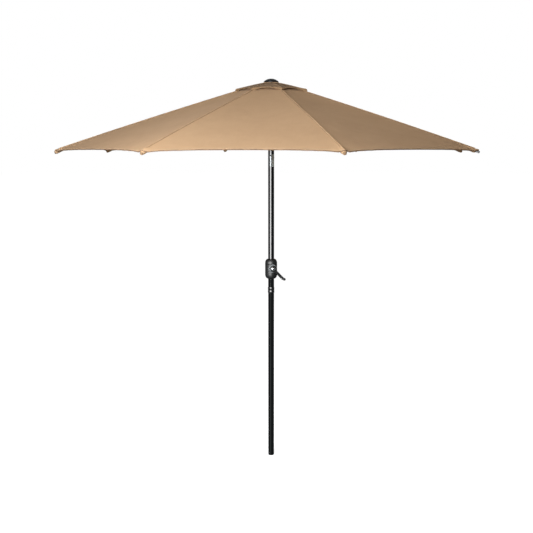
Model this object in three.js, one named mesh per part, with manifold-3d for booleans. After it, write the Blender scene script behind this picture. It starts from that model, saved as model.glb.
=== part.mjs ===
// Crank-lift market umbrella with eight ribs, a tilt joint and a two-piece pole.
// Millimetres, +Z up, origin at the centre of the pole's lower end, crank facing -Y.
import * as THREE from 'three';
import { mergeVertices } from 'three/addons/utils/BufferGeometryUtils.js';
import Module from 'manifold-3d';

const wasm = await Module();
wasm.setup();

// Pole
const POLE_RADIUS = 19;
const POLE_WALL = 1.5;
const LOWER_POLE_LENGTH = 1122;
const MAST_LENGTH = 771;
const UPPER_POLE_LENGTH = 433;
const SPIGOT_LENGTH = 120;
const PLUG_FLANGE = 5;
const PLUG_LENGTH = 32;
const COLLAR_WALL = 2;
const COLLAR_HEIGHT = 38;
const COLLAR_LIP = 3.7;
const GAP = 0.3;
const PLUG_CHAMFER = 2;
const BAND_ROUND = 5;
const WAIST_DEPTH = 1;

// Tilt joint: two half-round cheeks that lap on the plane x = 0
const TILT_LENGTH = 76;
const TILT_SHOULDER = 4;
const TILT_PIN_RADIUS = 5;
const SHANK_LENGTH = 40;
const BUTTON_RADIUS = 7;
const BUTTON_RISE = 19;
const BUTTON_TRAVEL = 3;
const BUTTON_PROUD = 0.9;
const BUTTON_WELL = 7;
const CORD_WAY_RADIUS = 3;
const CORD_WAY_OFFSET = 11;

// Crank unit
const CRANK_HEIGHT = 124;
const HOUSING_RADIUS = 38.5;
const HOUSING_DROP = 68;
const HOUSING_RISE = 59;
const HOUSING_SEAM = 27.5;
const HOUSING_ROUND = 27;
const HOUSING_WALL = 3;
const HOUSING_LIP = 1.5;
const SEAM_GAP = 1;
const HOUSING_RIM = 6;
const BEZEL_RADIUS = 27;
const BEZEL_PROUD = 4.5;
const BOSS_RADIUS = 9;
const SCREW_RADIUS = 3.5;
const SCREW_DROP = 24;
const SCREW_RISE = 22;
const SHAFT_RADIUS = 4;
const SPOOL_RADIUS = 10.5;
const SPOOL_HALF_LENGTH = 11;
const FLANGE_DEPTH = 1.5;
const SHAFT_SETBACK = 8;
const ARM_LENGTH = 88;
const ARM_THICKNESS = 9;
const ARM_HUB_RADIUS = 21;
const ARM_HUB_PROUD = 1.5;
const ARM_REST_ANGLE = 46;
const CAP_RADIUS = 11;
const CAP_HEIGHT = 4;
const KNOB_RADIUS = 9;
const KNOB_LENGTH = 45;
const KNOB_PIN_RADIUS = 3;
const KNOB_PIN_LENGTH = 5;

// Ribs, struts, hub and runner
const RIB_COUNT = 8;
const CANOPY_RADIUS = 1333;
const RIB_HEIGHT = 16;
const RIB_WIDTH = 10;
const RIB_DEPTH = 4.4;
const RIB_START = 78;
const RIB_SLOPE = 0.3037;
const RIB_BEND = 0.000014;
const FABRIC_RISE = 13.2;
const PIVOT_OFFSET = 17;
const PIN_RADIUS = 2.2;
const BLADE_WIDTH = 6.6;
const BLADE_OVERLAP = 22;
const SLOT_WIDTH = 9;
const EYE_RADIUS = 6.5;
const STRUT_STATION = 551;
const SADDLE_HALF_LENGTH = 18;
const SADDLE_WALL = 1.6;
const SADDLE_BRIDGE = 1.5;
const EYE_CLEARANCE = 0.5;
const STRUT_WIDTH = 7;
const HUB_MARGIN = 8;
const HUB_RISE = 9.5;
const HUB_DROP = 11;
const HUB_SKIRT = 39;
const HUB_SKIRT_WALL = 5;
const SLOT_RUNOUT = 1.5;
const HUB_EDGE = 2;
const RUNNER_CLEARANCE = 1.4;
const RUNNER_WALL = 7.1;
const RUNNER_DROP = 12;
const RUNNER_RISE = 36;
const CROWN_MARGIN = 9;
const RUNNER_COLLAR_HEIGHT = 8;
const CROWN_HALF_HEIGHT = 9;
const PULLEY_RADIUS = 11;
const PULLEY_DROP = 30;
const PULLEY_OFFSET = 7;
const PULLEY_HALF_WIDTH = 3;
const PULLEY_PIN_RADIUS = 2.5;
const PULLEY_PLAY = 1.2;
const TIP_LENGTH = 13;

// Canopy
const FABRIC = 2;
const CANOPY_INNER_RADIUS = 120;
const HEM_SETBACK = 11;
const VENT_RADIUS = 238;
const VENT_INNER_RADIUS = 8;
const VENT_FLAT_RADIUS = 50;
const VENT_SLOPE = 0.235;
const SEAT_CLEARANCE = 1;
const FINIAL_RADIUS = 47.5;
const FINIAL_HEIGHT = 22.5;
const FINIAL_STEM_RADIUS = 5;
const FINIAL_STEM_DROP = 4;
const FINIAL_EDGE = 4;

// Heights that follow from the stack of pole pieces
const MAST_BASE = LOWER_POLE_LENGTH;
const CRANK_Z = MAST_BASE + CRANK_HEIGHT;
const TILT_BASE = MAST_BASE + MAST_LENGTH;
const TILT_TOP = TILT_BASE + TILT_LENGTH;
const TILT_Z = (TILT_BASE + TILT_TOP) / 2;
const PIVOT_Z = TILT_TOP + UPPER_POLE_LENGTH;
const VENT_RISE = HUB_RISE + SEAT_CLEARANCE + FABRIC;
const FINIAL_BASE = PIVOT_Z + VENT_RISE + SEAT_CLEARANCE;
const PULLEY_Z = PIVOT_Z - PULLEY_DROP;

// Widths that follow from the pole and the pivot circle
const POLE_BORE = POLE_RADIUS - POLE_WALL;
const COLLAR_RADIUS = POLE_RADIUS + COLLAR_WALL;
const PIVOT_RADIUS = POLE_RADIUS + PIVOT_OFFSET;
const HUB_RADIUS = PIVOT_RADIUS + HUB_MARGIN;
const RUNNER_BORE = POLE_RADIUS + RUNNER_CLEARANCE;
const RUNNER_RADIUS = RUNNER_BORE + RUNNER_WALL;
const CROWN_RADIUS = PIVOT_RADIUS + CROWN_MARGIN;
const BEZEL_FACE = HOUSING_RADIUS + BEZEL_PROUD;
const ARM_FRONT = BEZEL_FACE + GAP + ARM_THICKNESS + ARM_HUB_PROUD;
const STRUT_DEPTH = RIB_DEPTH + RIB_HEIGHT + SADDLE_BRIDGE + EYE_CLEARANCE + EYE_RADIUS;
const SHANK_RADIUS = POLE_BORE - GAP;
const CHEEK_REACH = TILT_LENGTH / 2 - TILT_SHOULDER - GAP;
const QUARTER = Math.PI / 2;
const RIB_STEP = (2 * Math.PI) / RIB_COUNT;
const REACH = 1;

// three.js geometry to a manifold solid, and back
function solid(geometry) {
  const bare = geometry.clone();
  bare.deleteAttribute('normal');
  bare.deleteAttribute('uv');
  const merged = mergeVertices(bare, 1e-4);
  const corners = [];
  for (let i = 0; i < merged.index.count; i += 3) {
    const [a, b, c] = [0, 1, 2].map((k) => merged.index.getX(i + k));
    if (a !== b && b !== c && c !== a) corners.push(a, b, c);
  }
  const mesh = new wasm.Mesh({
    numProp: 3,
    vertProperties: new Float32Array(merged.attributes.position.array),
    triVerts: new Uint32Array(corners),
  });
  return new wasm.Manifold(mesh);
}

function surface(shape) {
  const mesh = shape.getMesh();
  const geometry = new THREE.BufferGeometry();
  const points = new Float32Array(mesh.vertProperties);
  geometry.setAttribute('position', new THREE.BufferAttribute(points, 3));
  geometry.setIndex(new THREE.BufferAttribute(new Uint32Array(mesh.triVerts), 1));
  geometry.computeVertexNormals();
  return geometry;
}

function union(...pieces) {
  return pieces.reduce((whole, piece) => whole.add(piece));
}

// Turned piece about the Z axis from [radius, height] corners
function turned(corners, segments = 32) {
  const profile = corners.map(([r, z]) => new THREE.Vector2(r, z));
  return new THREE.LatheGeometry(profile, segments).rotateX(QUARTER);
}

function ring(inner, outer, low, high, segments = 32) {
  const corners = [[inner, low], [outer, low], [outer, high], [inner, high], [inner, low]];
  return turned(corners, segments);
}

function rodX(radius, from, to, y, z, segments = 16) {
  const rod = new THREE.CylinderGeometry(radius, radius, to - from, segments);
  return rod.rotateZ(QUARTER).translate((from + to) / 2, y, z);
}

function rodY(radius, from, to, x, z, segments = 16) {
  const rod = new THREE.CylinderGeometry(radius, radius, to - from, segments);
  return rod.translate(x, (from + to) / 2, z);
}

function rodZ(radius, from, to, segments = 32) {
  const rod = new THREE.CylinderGeometry(radius, radius, to - from, segments);
  return rod.rotateX(QUARTER).translate(0, 0, (from + to) / 2);
}

function block(x0, x1, y0, y1, z0, z1) {
  const box = new THREE.BoxGeometry(x1 - x0, y1 - y0, z1 - z0);
  return box.translate((x0 + x1) / 2, (y0 + y1) / 2, (z0 + z1) / 2);
}

// Plate of a given width, drawn in the radial plane (x outward, z up)
function sidePlate(shape, width) {
  const settings = { depth: width, bevelEnabled: false, curveSegments: 4 };
  const plate = new THREE.ExtrudeGeometry(shape, settings);
  return plate.translate(0, 0, -width / 2).rotateX(QUARTER);
}

// Bar with round ends between two points of the radial plane
function linkShape(from, to, radius) {
  const along = to.clone().sub(from).normalize();
  const angle = Math.atan2(along.y, along.x);
  const shape = new THREE.Shape();
  shape.absarc(to.x, to.y, radius, angle - QUARTER, angle + QUARTER, false);
  shape.absarc(from.x, from.y, radius, angle + QUARTER, angle + 3 * QUARTER, false);
  shape.closePath();
  return shape;
}

// The fabric's line over a rib, and points at a depth below it
function fabricHeight(r) {
  const out = r - PIVOT_RADIUS;
  return PIVOT_Z + FABRIC_RISE - RIB_SLOPE * out - RIB_BEND * out * out;
}

function underFabric(r, depth) {
  const fall = Math.atan(RIB_SLOPE + 2 * RIB_BEND * (r - PIVOT_RADIUS));
  const height = fabricHeight(r) - depth * Math.cos(fall);
  return new THREE.Vector2(r - depth * Math.sin(fall), height);
}

const ribPivot = new THREE.Vector2(PIVOT_RADIUS, PIVOT_Z);
const strutPivot = underFabric(STRUT_STATION, STRUT_DEPTH);
const RUNNER_Z = 2 * strutPivot.y - PIVOT_Z;
const runnerPivot = new THREE.Vector2(PIVOT_RADIUS, RUNNER_Z);

// Pole pieces
function poleEndPlug() {
  const stem = SHANK_RADIUS;
  const round = PLUG_CHAMFER;
  const middle = 0.3 * round;
  return turned([[0, 0], [POLE_RADIUS - round, 0], [POLE_RADIUS - middle, middle],
    [POLE_RADIUS, round], [POLE_RADIUS, PLUG_FLANGE], [stem, PLUG_FLANGE],
    [stem, PLUG_LENGTH - round], [stem - round, PLUG_LENGTH], [0, PLUG_LENGTH]]);
}

function lowerPoleTube() {
  return ring(POLE_BORE, POLE_RADIUS, PLUG_FLANGE + GAP, MAST_BASE - COLLAR_LIP - GAP);
}

function poleCollar() {
  const low = MAST_BASE - COLLAR_HEIGHT;
  const middle = MAST_BASE - COLLAR_HEIGHT / 2;
  const waist = COLLAR_RADIUS - WAIST_DEPTH;
  const bore = POLE_RADIUS + GAP;
  const lip = MAST_BASE - COLLAR_LIP;
  return turned([[bore, low], [waist, low], [COLLAR_RADIUS, low + BAND_ROUND],
    [COLLAR_RADIUS, middle - BAND_ROUND], [waist, middle - WAIST_DEPTH],
    [waist, middle + WAIST_DEPTH], [COLLAR_RADIUS, middle + BAND_ROUND],
    [COLLAR_RADIUS, MAST_BASE - BAND_ROUND], [waist, MAST_BASE], [POLE_BORE, MAST_BASE],
    [POLE_BORE, lip], [bore, lip], [bore, low]]);
}

function mastTube() {
  const low = MAST_BASE - SPIGOT_LENGTH;
  const seat = MAST_BASE + GAP;
  const top = TILT_BASE - GAP;
  const swaged = SHANK_RADIUS - POLE_WALL;
  const neck = seat + 4;
  const tube = solid(turned([[swaged, low], [SHANK_RADIUS, low], [SHANK_RADIUS, seat],
    [POLE_RADIUS, seat], [POLE_RADIUS, top], [POLE_BORE, top], [POLE_BORE, neck + 4],
    [swaged, neck], [swaged, low]]));
  const opening = SPOOL_RADIUS + FLANGE_DEPTH + REACH;
  const window = solid(rodY(opening, -POLE_RADIUS - REACH, 0, 0, CRANK_Z));
  const bearing = solid(rodY(SHAFT_RADIUS + GAP, 0, POLE_RADIUS + REACH, 0, CRANK_Z));
  return surface(tube.subtract(window).subtract(bearing));
}

// Tilt joint
function cheek(side) {
  const inside = side * GAP / 2;
  const wide = POLE_RADIUS + REACH;
  const outside = side * wide;
  const round = solid(rodZ(POLE_RADIUS, TILT_BASE, TILT_TOP));
  const half = solid(block(Math.min(inside, outside), Math.max(inside, outside),
    -wide, wide, TILT_BASE, TILT_TOP));
  const sweep = solid(rodX(CHEEK_REACH, -wide, wide, 0, TILT_Z, 40));
  return round.intersect(half).intersect(sweep);
}

function cordWay() {
  const low = TILT_BASE - SHANK_LENGTH - REACH;
  const high = TILT_TOP + SHANK_LENGTH + REACH;
  return solid(rodZ(CORD_WAY_RADIUS, low, high, 16).translate(0, CORD_WAY_OFFSET, 0));
}

function tiltBore() {
  const wide = POLE_RADIUS + REACH;
  return solid(rodX(TILT_PIN_RADIUS + GAP, -wide, wide, 0, TILT_Z));
}

function tiltYoke() {
  const wide = POLE_RADIUS;
  const shank = solid(rodZ(SHANK_RADIUS, TILT_BASE - SHANK_LENGTH, TILT_BASE + REACH));
  const shoulder = solid(rodZ(wide, TILT_BASE, TILT_BASE + TILT_SHOULDER));
  const neck = solid(block(-wide, -GAP / 2, -wide, wide, TILT_BASE + REACH, TILT_Z));
  const root = neck.intersect(solid(rodZ(wide, TILT_BASE, TILT_Z)));
  const whole = union(shank, shoulder, root, cheek(-1));
  return surface(whole.subtract(tiltBore()).subtract(cordWay()));
}

function tiltBlock() {
  const wide = POLE_RADIUS;
  const shank = solid(rodZ(SHANK_RADIUS, TILT_TOP - REACH, TILT_TOP + SHANK_LENGTH));
  const shoulder = solid(rodZ(wide, TILT_TOP - TILT_SHOULDER, TILT_TOP));
  const neck = solid(block(GAP / 2, wide, -wide, wide, TILT_Z, TILT_TOP - REACH));
  const root = neck.intersect(solid(rodZ(wide, TILT_Z, TILT_TOP)));
  const buttonZ = TILT_Z + BUTTON_RISE;
  const well = solid(rodX(BUTTON_RADIUS + GAP, BUTTON_WELL, wide + REACH, 0, buttonZ));
  const whole = union(shank, shoulder, root, cheek(1));
  return surface(whole.subtract(tiltBore()).subtract(well).subtract(cordWay()));
}

function tiltPin() {
  return rodX(TILT_PIN_RADIUS, -POLE_RADIUS + 1, POLE_RADIUS - 3, 0, TILT_Z);
}

function tiltButton() {
  const root = BUTTON_WELL + GAP + BUTTON_TRAVEL;
  const front = POLE_RADIUS + BUTTON_PROUD + REACH;
  const stem = solid(rodX(BUTTON_RADIUS, root, front, 0, TILT_Z + BUTTON_RISE, 20));
  const face = solid(rodZ(POLE_RADIUS + BUTTON_PROUD, TILT_Z, TILT_TOP, 48));
  return surface(stem.intersect(face));
}

function upperPoleTube() {
  const tube = solid(ring(POLE_BORE, POLE_RADIUS, TILT_TOP + GAP, PIVOT_Z - HUB_DROP - GAP));
  const half = PULLEY_HALF_WIDTH + PULLEY_PLAY;
  const low = PULLEY_Z - PULLEY_RADIUS - 6;
  const high = PULLEY_Z + PULLEY_RADIUS + 4;
  const slot = solid(block(-half, half, PULLEY_OFFSET - REACH, POLE_RADIUS + REACH, low, high));
  const wide = POLE_RADIUS + REACH;
  const holes = solid(rodX(PULLEY_PIN_RADIUS + GAP, -wide, wide, PULLEY_OFFSET, PULLEY_Z, 16));
  return surface(tube.subtract(slot).subtract(holes));
}

// Crank unit
function housingArc(sign, from, to) {
  const end = sign > 0 ? HOUSING_RISE : -HOUSING_DROP;
  const middle = CRANK_Z + end - sign * HOUSING_ROUND;
  const waist = POLE_RADIUS + HOUSING_LIP;
  const corners = [];
  for (let step = 0; step <= 4; step += 1) {
    const angle = from + ((to - from) * step) / 4;
    corners.push([waist + (HOUSING_RADIUS - waist) * Math.cos(angle),
      middle + sign * HOUSING_ROUND * Math.sin(angle)]);
  }
  return corners;
}

function crankHousingLower() {
  const bore = POLE_RADIUS + GAP;
  const seam = CRANK_Z + HOUSING_SEAM;
  const low = CRANK_Z - HOUSING_DROP;
  const cavity = HOUSING_RADIUS - HOUSING_WALL;
  const floor = low + HOUSING_ROUND * 0.7;
  const rim = HOUSING_RIM;
  const shell = solid(turned([[bore, low], ...housingArc(-1, QUARTER, 0),
    [HOUSING_RADIUS, seam], [cavity, seam], [cavity, floor + rim], [bore + rim, floor],
    [bore, floor], [bore, low]], 40));
  const near = POLE_RADIUS + REACH;
  const far = cavity + REACH;
  const rear = solid(rodY(BOSS_RADIUS, near, far, 0, CRANK_Z));
  const front = solid(rodY(BOSS_RADIUS, -far, -near, 0, CRANK_Z));
  const shaft = solid(rodY(SHAFT_RADIUS + GAP, -HOUSING_RADIUS - REACH, cavity - REACH, 0, CRANK_Z));
  return surface(union(shell, rear, front).subtract(shaft));
}

function crankHousingUpper() {
  const bore = POLE_RADIUS + GAP;
  const seam = CRANK_Z + HOUSING_SEAM + SEAM_GAP;
  const high = CRANK_Z + HOUSING_RISE;
  const cavity = HOUSING_RADIUS - HOUSING_WALL;
  const roof = high - HOUSING_ROUND * 0.7;
  const rim = HOUSING_RIM;
  return turned([[bore, roof], [bore + rim, roof], [cavity, roof - rim], [cavity, seam],
    [HOUSING_RADIUS, seam], ...housingArc(1, 0, QUARTER), [bore, high], [bore, roof]], 40);
}

function crankBezel() {
  const rim = BEZEL_RADIUS;
  const face = -BEZEL_FACE;
  const root = -HOUSING_RADIUS / 2;
  const edge = BEZEL_PROUD - 1.5;
  const disc = solid(turned([[0, face], [rim - edge, face], [rim, face + edge], [rim, root],
    [0, root]]).rotateX(-QUARTER).translate(0, 0, CRANK_Z));
  const low = CRANK_Z - rim - REACH;
  const high = CRANK_Z + rim + REACH;
  const body = solid(rodZ(HOUSING_RADIUS + GAP, low, high, 40));
  const hole = solid(rodY(SHAFT_RADIUS + GAP, face - REACH, 0, 0, CRANK_Z));
  return surface(disc.subtract(body).subtract(hole));
}

function crankShaft() {
  const front = -BEZEL_FACE - ARM_THICKNESS + 2;
  const half = SPOOL_HALF_LENGTH;
  const core = SPOOL_RADIUS - 2.5;
  const flange = SPOOL_RADIUS + FLANGE_DEPTH;
  const inside = half - FLANGE_DEPTH;
  const rear = HOUSING_RADIUS - SHAFT_SETBACK;
  const profile = [[0, front], [SHAFT_RADIUS, front], [SHAFT_RADIUS, -half], [flange, -half],
    [flange, -inside], [core, -inside], [core, inside], [flange, inside], [flange, half],
    [SHAFT_RADIUS, half], [SHAFT_RADIUS, rear], [0, rear]];
  return turned(profile, 24).rotateX(-QUARTER).translate(0, 0, CRANK_Z);
}

function armEnd() {
  const angle = (-ARM_REST_ANGLE * Math.PI) / 180;
  return new THREE.Vector2(ARM_LENGTH * Math.cos(angle), ARM_LENGTH * Math.sin(angle));
}

function crankArm() {
  const back = -BEZEL_FACE - GAP;
  const front = -ARM_FRONT;
  const end = armEnd();
  const hub = solid(rodY(ARM_HUB_RADIUS, front, back, 0, CRANK_Z, 32));
  const outline = linkShape(new THREE.Vector2(0, 0), end, KNOB_RADIUS);
  const bar = solid(sidePlate(outline, ARM_THICKNESS)
    .translate(0, front + ARM_THICKNESS / 2, CRANK_Z));
  const socket = solid(rodY(SHAFT_RADIUS + GAP, front + 3, back + REACH, 0, CRANK_Z));
  const deep = front + KNOB_PIN_LENGTH + 2;
  const pinHole = solid(rodY(KNOB_PIN_RADIUS + GAP, front - REACH, deep, end.x, CRANK_Z + end.y, 16));
  return surface(union(hub, bar).subtract(socket).subtract(pinHole));
}

function crankCap() {
  const face = -ARM_FRONT - GAP;
  const profile = [[0, face - CAP_HEIGHT], [CAP_RADIUS * 0.6, face - CAP_HEIGHT * 0.85],
    [CAP_RADIUS * 0.9, face - CAP_HEIGHT / 2], [CAP_RADIUS, face], [0, face]];
  return turned(profile, 24).rotateX(-QUARTER).translate(0, 0, CRANK_Z);
}

function crankKnob() {
  const face = -ARM_FRONT - GAP;
  const end = armEnd();
  const tip = face - KNOB_LENGTH;
  const waist = KNOB_RADIUS - 1.2;
  const root = face + KNOB_PIN_LENGTH;
  const profile = [[0, tip], [waist - 3, tip + 1], [waist, tip + 4], [KNOB_RADIUS, tip + 10],
    [waist, tip + 26], [KNOB_RADIUS - 0.4, face - 3], [KNOB_RADIUS - 1.4, face],
    [KNOB_PIN_RADIUS, face], [KNOB_PIN_RADIUS, root], [0, root]];
  return turned(profile, 20).rotateX(-QUARTER).translate(end.x, 0, CRANK_Z + end.y);
}

function housingScrew(z) {
  const seat = HOUSING_RADIUS + GAP;
  const inner = SCREW_RADIUS - 1.3;
  const profile = [[0, seat], [SCREW_RADIUS, seat], [SCREW_RADIUS, seat + 1], [inner, seat + 2],
    [0, seat + 2.2]];
  return turned(profile, 10).rotateX(-QUARTER).translate(0, 0, z);
}

// Hub, finial, pulley and runner
function radialCopies(make) {
  const pieces = [];
  for (let i = 0; i < RIB_COUNT; i += 1) {
    pieces.push(solid(make().rotateZ(i * RIB_STEP)));
  }
  return union(...pieces);
}

function topHub() {
  const low = PIVOT_Z - HUB_DROP;
  const high = PIVOT_Z + HUB_RISE;
  const bore = POLE_RADIUS + GAP;
  const skirt = POLE_RADIUS + HUB_SKIRT_WALL;
  const foot = low - HUB_SKIRT;
  const stem = FINIAL_STEM_RADIUS + GAP;
  const edge = HUB_RADIUS - HUB_EDGE;
  const body = solid(turned([[stem, low], [bore, low], [bore, foot], [skirt, foot],
    [skirt, low - 3], [skirt + 3, low], [edge, low], [HUB_RADIUS, low + HUB_EDGE],
    [HUB_RADIUS, high - HUB_EDGE], [edge, high], [stem, high], [stem, low]], 40));
  const half = SLOT_WIDTH / 2;
  const pivot = () => rodY(PIN_RADIUS, -half - 3, half + 3, PIVOT_RADIUS, PIVOT_Z, 8);
  const back = PIVOT_RADIUS - EYE_RADIUS - SLOT_RUNOUT;
  const slot = () => block(back, HUB_RADIUS + REACH, -half, half, low - REACH, high + REACH);
  const cordSlot = solid(block(-half, half, PULLEY_OFFSET - REACH, skirt + REACH,
    foot - REACH, PULLEY_Z + PULLEY_RADIUS + 2));
  return surface(body.subtract(radialCopies(slot)).add(radialCopies(pivot)).subtract(cordSlot));
}

function finial() {
  const low = FINIAL_BASE;
  const high = low + FINIAL_HEIGHT;
  const root = PIVOT_Z - FINIAL_STEM_DROP;
  const corners = [[0, root], [FINIAL_STEM_RADIUS, root], [FINIAL_STEM_RADIUS, low],
    [FINIAL_RADIUS - FINIAL_EDGE + 1, low]];
  for (let step = 0; step <= 5; step += 1) {
    const angle = (step / 5) * QUARTER;
    const dome = FINIAL_HEIGHT - FINIAL_EDGE;
    corners.push([FINIAL_RADIUS * Math.cos(angle), high - dome + dome * Math.sin(angle)]);
  }
  corners[corners.length - 1][0] = 0;
  return turned(corners, 40);
}

function topPulley() {
  const rim = PULLEY_RADIUS;
  const bore = PULLEY_PIN_RADIUS + GAP;
  const half = PULLEY_HALF_WIDTH;
  const profile = [[bore, -half], [rim, -half], [rim - 2, 0], [rim, half], [bore, half],
    [bore, -half]];
  return turned(profile, 20).rotateY(QUARTER).translate(0, PULLEY_OFFSET, PULLEY_Z);
}

function pulleyPin() {
  const half = Math.sqrt(POLE_RADIUS ** 2 - PULLEY_OFFSET ** 2) - REACH;
  return rodX(PULLEY_PIN_RADIUS, -half, half, PULLEY_OFFSET, PULLEY_Z, 16);
}

function runnerSleeve() {
  const low = RUNNER_Z - RUNNER_DROP;
  const high = RUNNER_Z + RUNNER_RISE;
  const edge = CROWN_RADIUS - HUB_EDGE;
  const under = RUNNER_Z - CROWN_HALF_HEIGHT;
  const over = RUNNER_Z + CROWN_HALF_HEIGHT;
  const rim = RUNNER_RADIUS + 2;
  const body = solid(turned([[RUNNER_BORE, low], [RUNNER_RADIUS, low], [RUNNER_RADIUS, under],
    [edge, under], [CROWN_RADIUS, under + HUB_EDGE], [CROWN_RADIUS, over - HUB_EDGE],
    [edge, over], [RUNNER_RADIUS, over], [RUNNER_RADIUS, high - 6], [rim, high - 4],
    [rim, high], [RUNNER_BORE, high], [RUNNER_BORE, low]], 40));
  const half = SLOT_WIDTH / 2;
  const back = PIVOT_RADIUS - EYE_RADIUS - SLOT_RUNOUT;
  const slot = () => block(back, CROWN_RADIUS + REACH, -half, half, under - 3, over + 3);
  return surface(body.subtract(radialCopies(slot)));
}

function runnerCollar() {
  const low = RUNNER_Z + RUNNER_RISE + GAP;
  const high = low + RUNNER_COLLAR_HEIGHT;
  const wide = RUNNER_RADIUS + 1;
  return turned([[RUNNER_BORE, low], [RUNNER_RADIUS, low], [wide, low + 2], [wide, high - 3],
    [wide - 3, high], [RUNNER_BORE, high], [RUNNER_BORE, low]]);
}

// Ribs and struts, drawn outward along +X
function ribBarShape() {
  const end = CANOPY_RADIUS - TIP_LENGTH;
  const steps = 8;
  const upper = [];
  const lower = [];
  for (let i = 0; i <= steps; i += 1) {
    const r = RIB_START + ((end - RIB_START) * i) / steps;
    upper.push(underFabric(r, RIB_DEPTH));
    lower.push(underFabric(r, RIB_DEPTH + RIB_HEIGHT));
  }
  return new THREE.Shape([...lower, ...upper.reverse()]);
}

function saddleShape() {
  const depth = RIB_DEPTH + RIB_HEIGHT / 2;
  const out = underFabric(STRUT_STATION + SADDLE_HALF_LENGTH, depth);
  const inn = underFabric(STRUT_STATION - SADDLE_HALF_LENGTH, depth);
  const half = RIB_HEIGHT / 2 + REACH;
  const along = out.clone().sub(inn).normalize();
  const down = new THREE.Vector2(along.y, -along.x);
  const corner = (point, drop) => point.clone().addScaledVector(down, drop);
  const angle = Math.atan2(down.y, down.x);
  const shape = new THREE.Shape();
  shape.moveTo(corner(out, -half).x, corner(out, -half).y);
  shape.lineTo(corner(inn, -half).x, corner(inn, -half).y);
  shape.lineTo(corner(inn, half).x, corner(inn, half).y);
  shape.absarc(strutPivot.x, strutPivot.y, EYE_RADIUS, angle - 1.2, angle + 1.2, false);
  shape.lineTo(corner(out, half).x, corner(out, half).y);
  shape.closePath();
  return shape;
}

function ribBody() {
  const bar = solid(sidePlate(ribBarShape(), RIB_WIDTH));
  const heart = underFabric(RIB_START + BLADE_OVERLAP, RIB_DEPTH + RIB_HEIGHT / 2);
  const blade = solid(sidePlate(linkShape(ribPivot, heart, EYE_RADIUS), BLADE_WIDTH));
  const saddle = solid(sidePlate(saddleShape(), RIB_WIDTH + 2 * SADDLE_WALL));
  const lowest = underFabric(STRUT_STATION, RIB_DEPTH + RIB_HEIGHT + SADDLE_BRIDGE);
  const fall = Math.atan(RIB_SLOPE + 2 * RIB_BEND * (STRUT_STATION - PIVOT_RADIUS));
  const half = SLOT_WIDTH / 2;
  const long = 3 * SADDLE_HALF_LENGTH;
  const mouth = solid(block(-long, long, -half, half, -long, 0)
    .rotateY(fall).translate(lowest.x, 0, lowest.y));
  const grip = half + SADDLE_WALL;
  const pin = solid(rodY(PIN_RADIUS, -grip, grip, strutPivot.x, strutPivot.y, 8));
  const wide = BLADE_WIDTH;
  const eye = solid(rodY(PIN_RADIUS + GAP, -wide, wide, PIVOT_RADIUS, PIVOT_Z, 12));
  return surface(union(bar, blade, saddle.subtract(mouth), pin).subtract(eye));
}

function ribTip() {
  const start = CANOPY_RADIUS - TIP_LENGTH + GAP;
  const near = underFabric(start, RIB_DEPTH - 1);
  const far = underFabric(CANOPY_RADIUS, RIB_DEPTH + 1);
  const farLow = underFabric(CANOPY_RADIUS, RIB_DEPTH + RIB_HEIGHT - 1);
  const nearLow = underFabric(start, RIB_DEPTH + RIB_HEIGHT + 1);
  return sidePlate(new THREE.Shape([nearLow, farLow, far, near]), RIB_WIDTH + 2);
}

function strutBar() {
  const bar = solid(sidePlate(linkShape(runnerPivot, strutPivot, EYE_RADIUS), STRUT_WIDTH));
  const holes = [runnerPivot, strutPivot].map((p) =>
    solid(rodY(PIN_RADIUS + GAP, -STRUT_WIDTH, STRUT_WIDTH, p.x, p.y, 12)));
  return surface(bar.subtract(holes[0]).subtract(holes[1]));
}

// Canopy: each sector runs from mid-panel to mid-panel over one rib
function canopySector() {
  const outer = CANOPY_RADIUS - HEM_SETBACK;
  const box = new THREE.BoxGeometry(1, 2, 1, 8, 4, 1);
  const corners = box.attributes.position;
  const chordIn = (1 - Math.cos(RIB_STEP)) / 2;
  const chordOut = Math.sin(RIB_STEP) / 2;
  for (let i = 0; i < corners.count; i += 1) {
    const r = CANOPY_INNER_RADIUS + (outer - CANOPY_INNER_RADIUS) * (corners.getX(i) + 0.5);
    const across = corners.getY(i);
    const inset = across * GAP;
    const top = corners.getZ(i) > 0;
    const x = r * (1 - Math.abs(across) * chordIn);
    const height = fabricHeight(r) - (top ? 0 : FABRIC);
    corners.setXYZ(i, x, across * r * chordOut - inset, height);
  }
  return box;
}

function ventCanopy() {
  const top = PIVOT_Z + VENT_RISE;
  const inner = VENT_INNER_RADIUS;
  const flat = VENT_FLAT_RADIUS;
  const rim = top - VENT_SLOPE * (VENT_RADIUS - flat);
  const under = top - FABRIC;
  const cap = turned([[inner, under], [flat, under], [VENT_RADIUS, rim - FABRIC],
    [VENT_RADIUS, rim], [flat, top], [inner, top], [inner, under]], RIB_COUNT * 4);
  const corners = cap.attributes.position;
  for (let i = 0; i < corners.count; i += 1) {
    const x = corners.getX(i);
    const y = corners.getY(i);
    const turn = Math.atan2(y, x);
    const offRib = turn - Math.round(turn / RIB_STEP) * RIB_STEP;
    const squeeze = Math.cos(RIB_STEP / 2) / Math.cos(RIB_STEP / 2 - Math.abs(offRib));
    const far = Math.hypot(x, y) > flat + 1 ? squeeze : 1;
    corners.setX(i, x * far);
    corners.setY(i, y * far);
  }
  return cap;
}

// Materials
const COLOURS = {
  fabric: ['#c3a67f', 0.9, 0],
  black: ['#101112', 0.35, 0.4],
  silver: ['#b9bfbf', 0.25, 0.9],
  plastic: ['#17191a', 0.45, 0],
  bezel: ['#6d7270', 0.5, 0],
  steel: ['#c9cccd', 0.15, 1],
};

function material(name) {
  const [color, roughness, metalness] = COLOURS[name];
  return new THREE.MeshStandardMaterial({ color, roughness, metalness });
}

function piece(name, geometry, slot) {
  const mesh = new THREE.Mesh(geometry, material(slot));
  mesh.name = name;
  return mesh;
}

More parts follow.
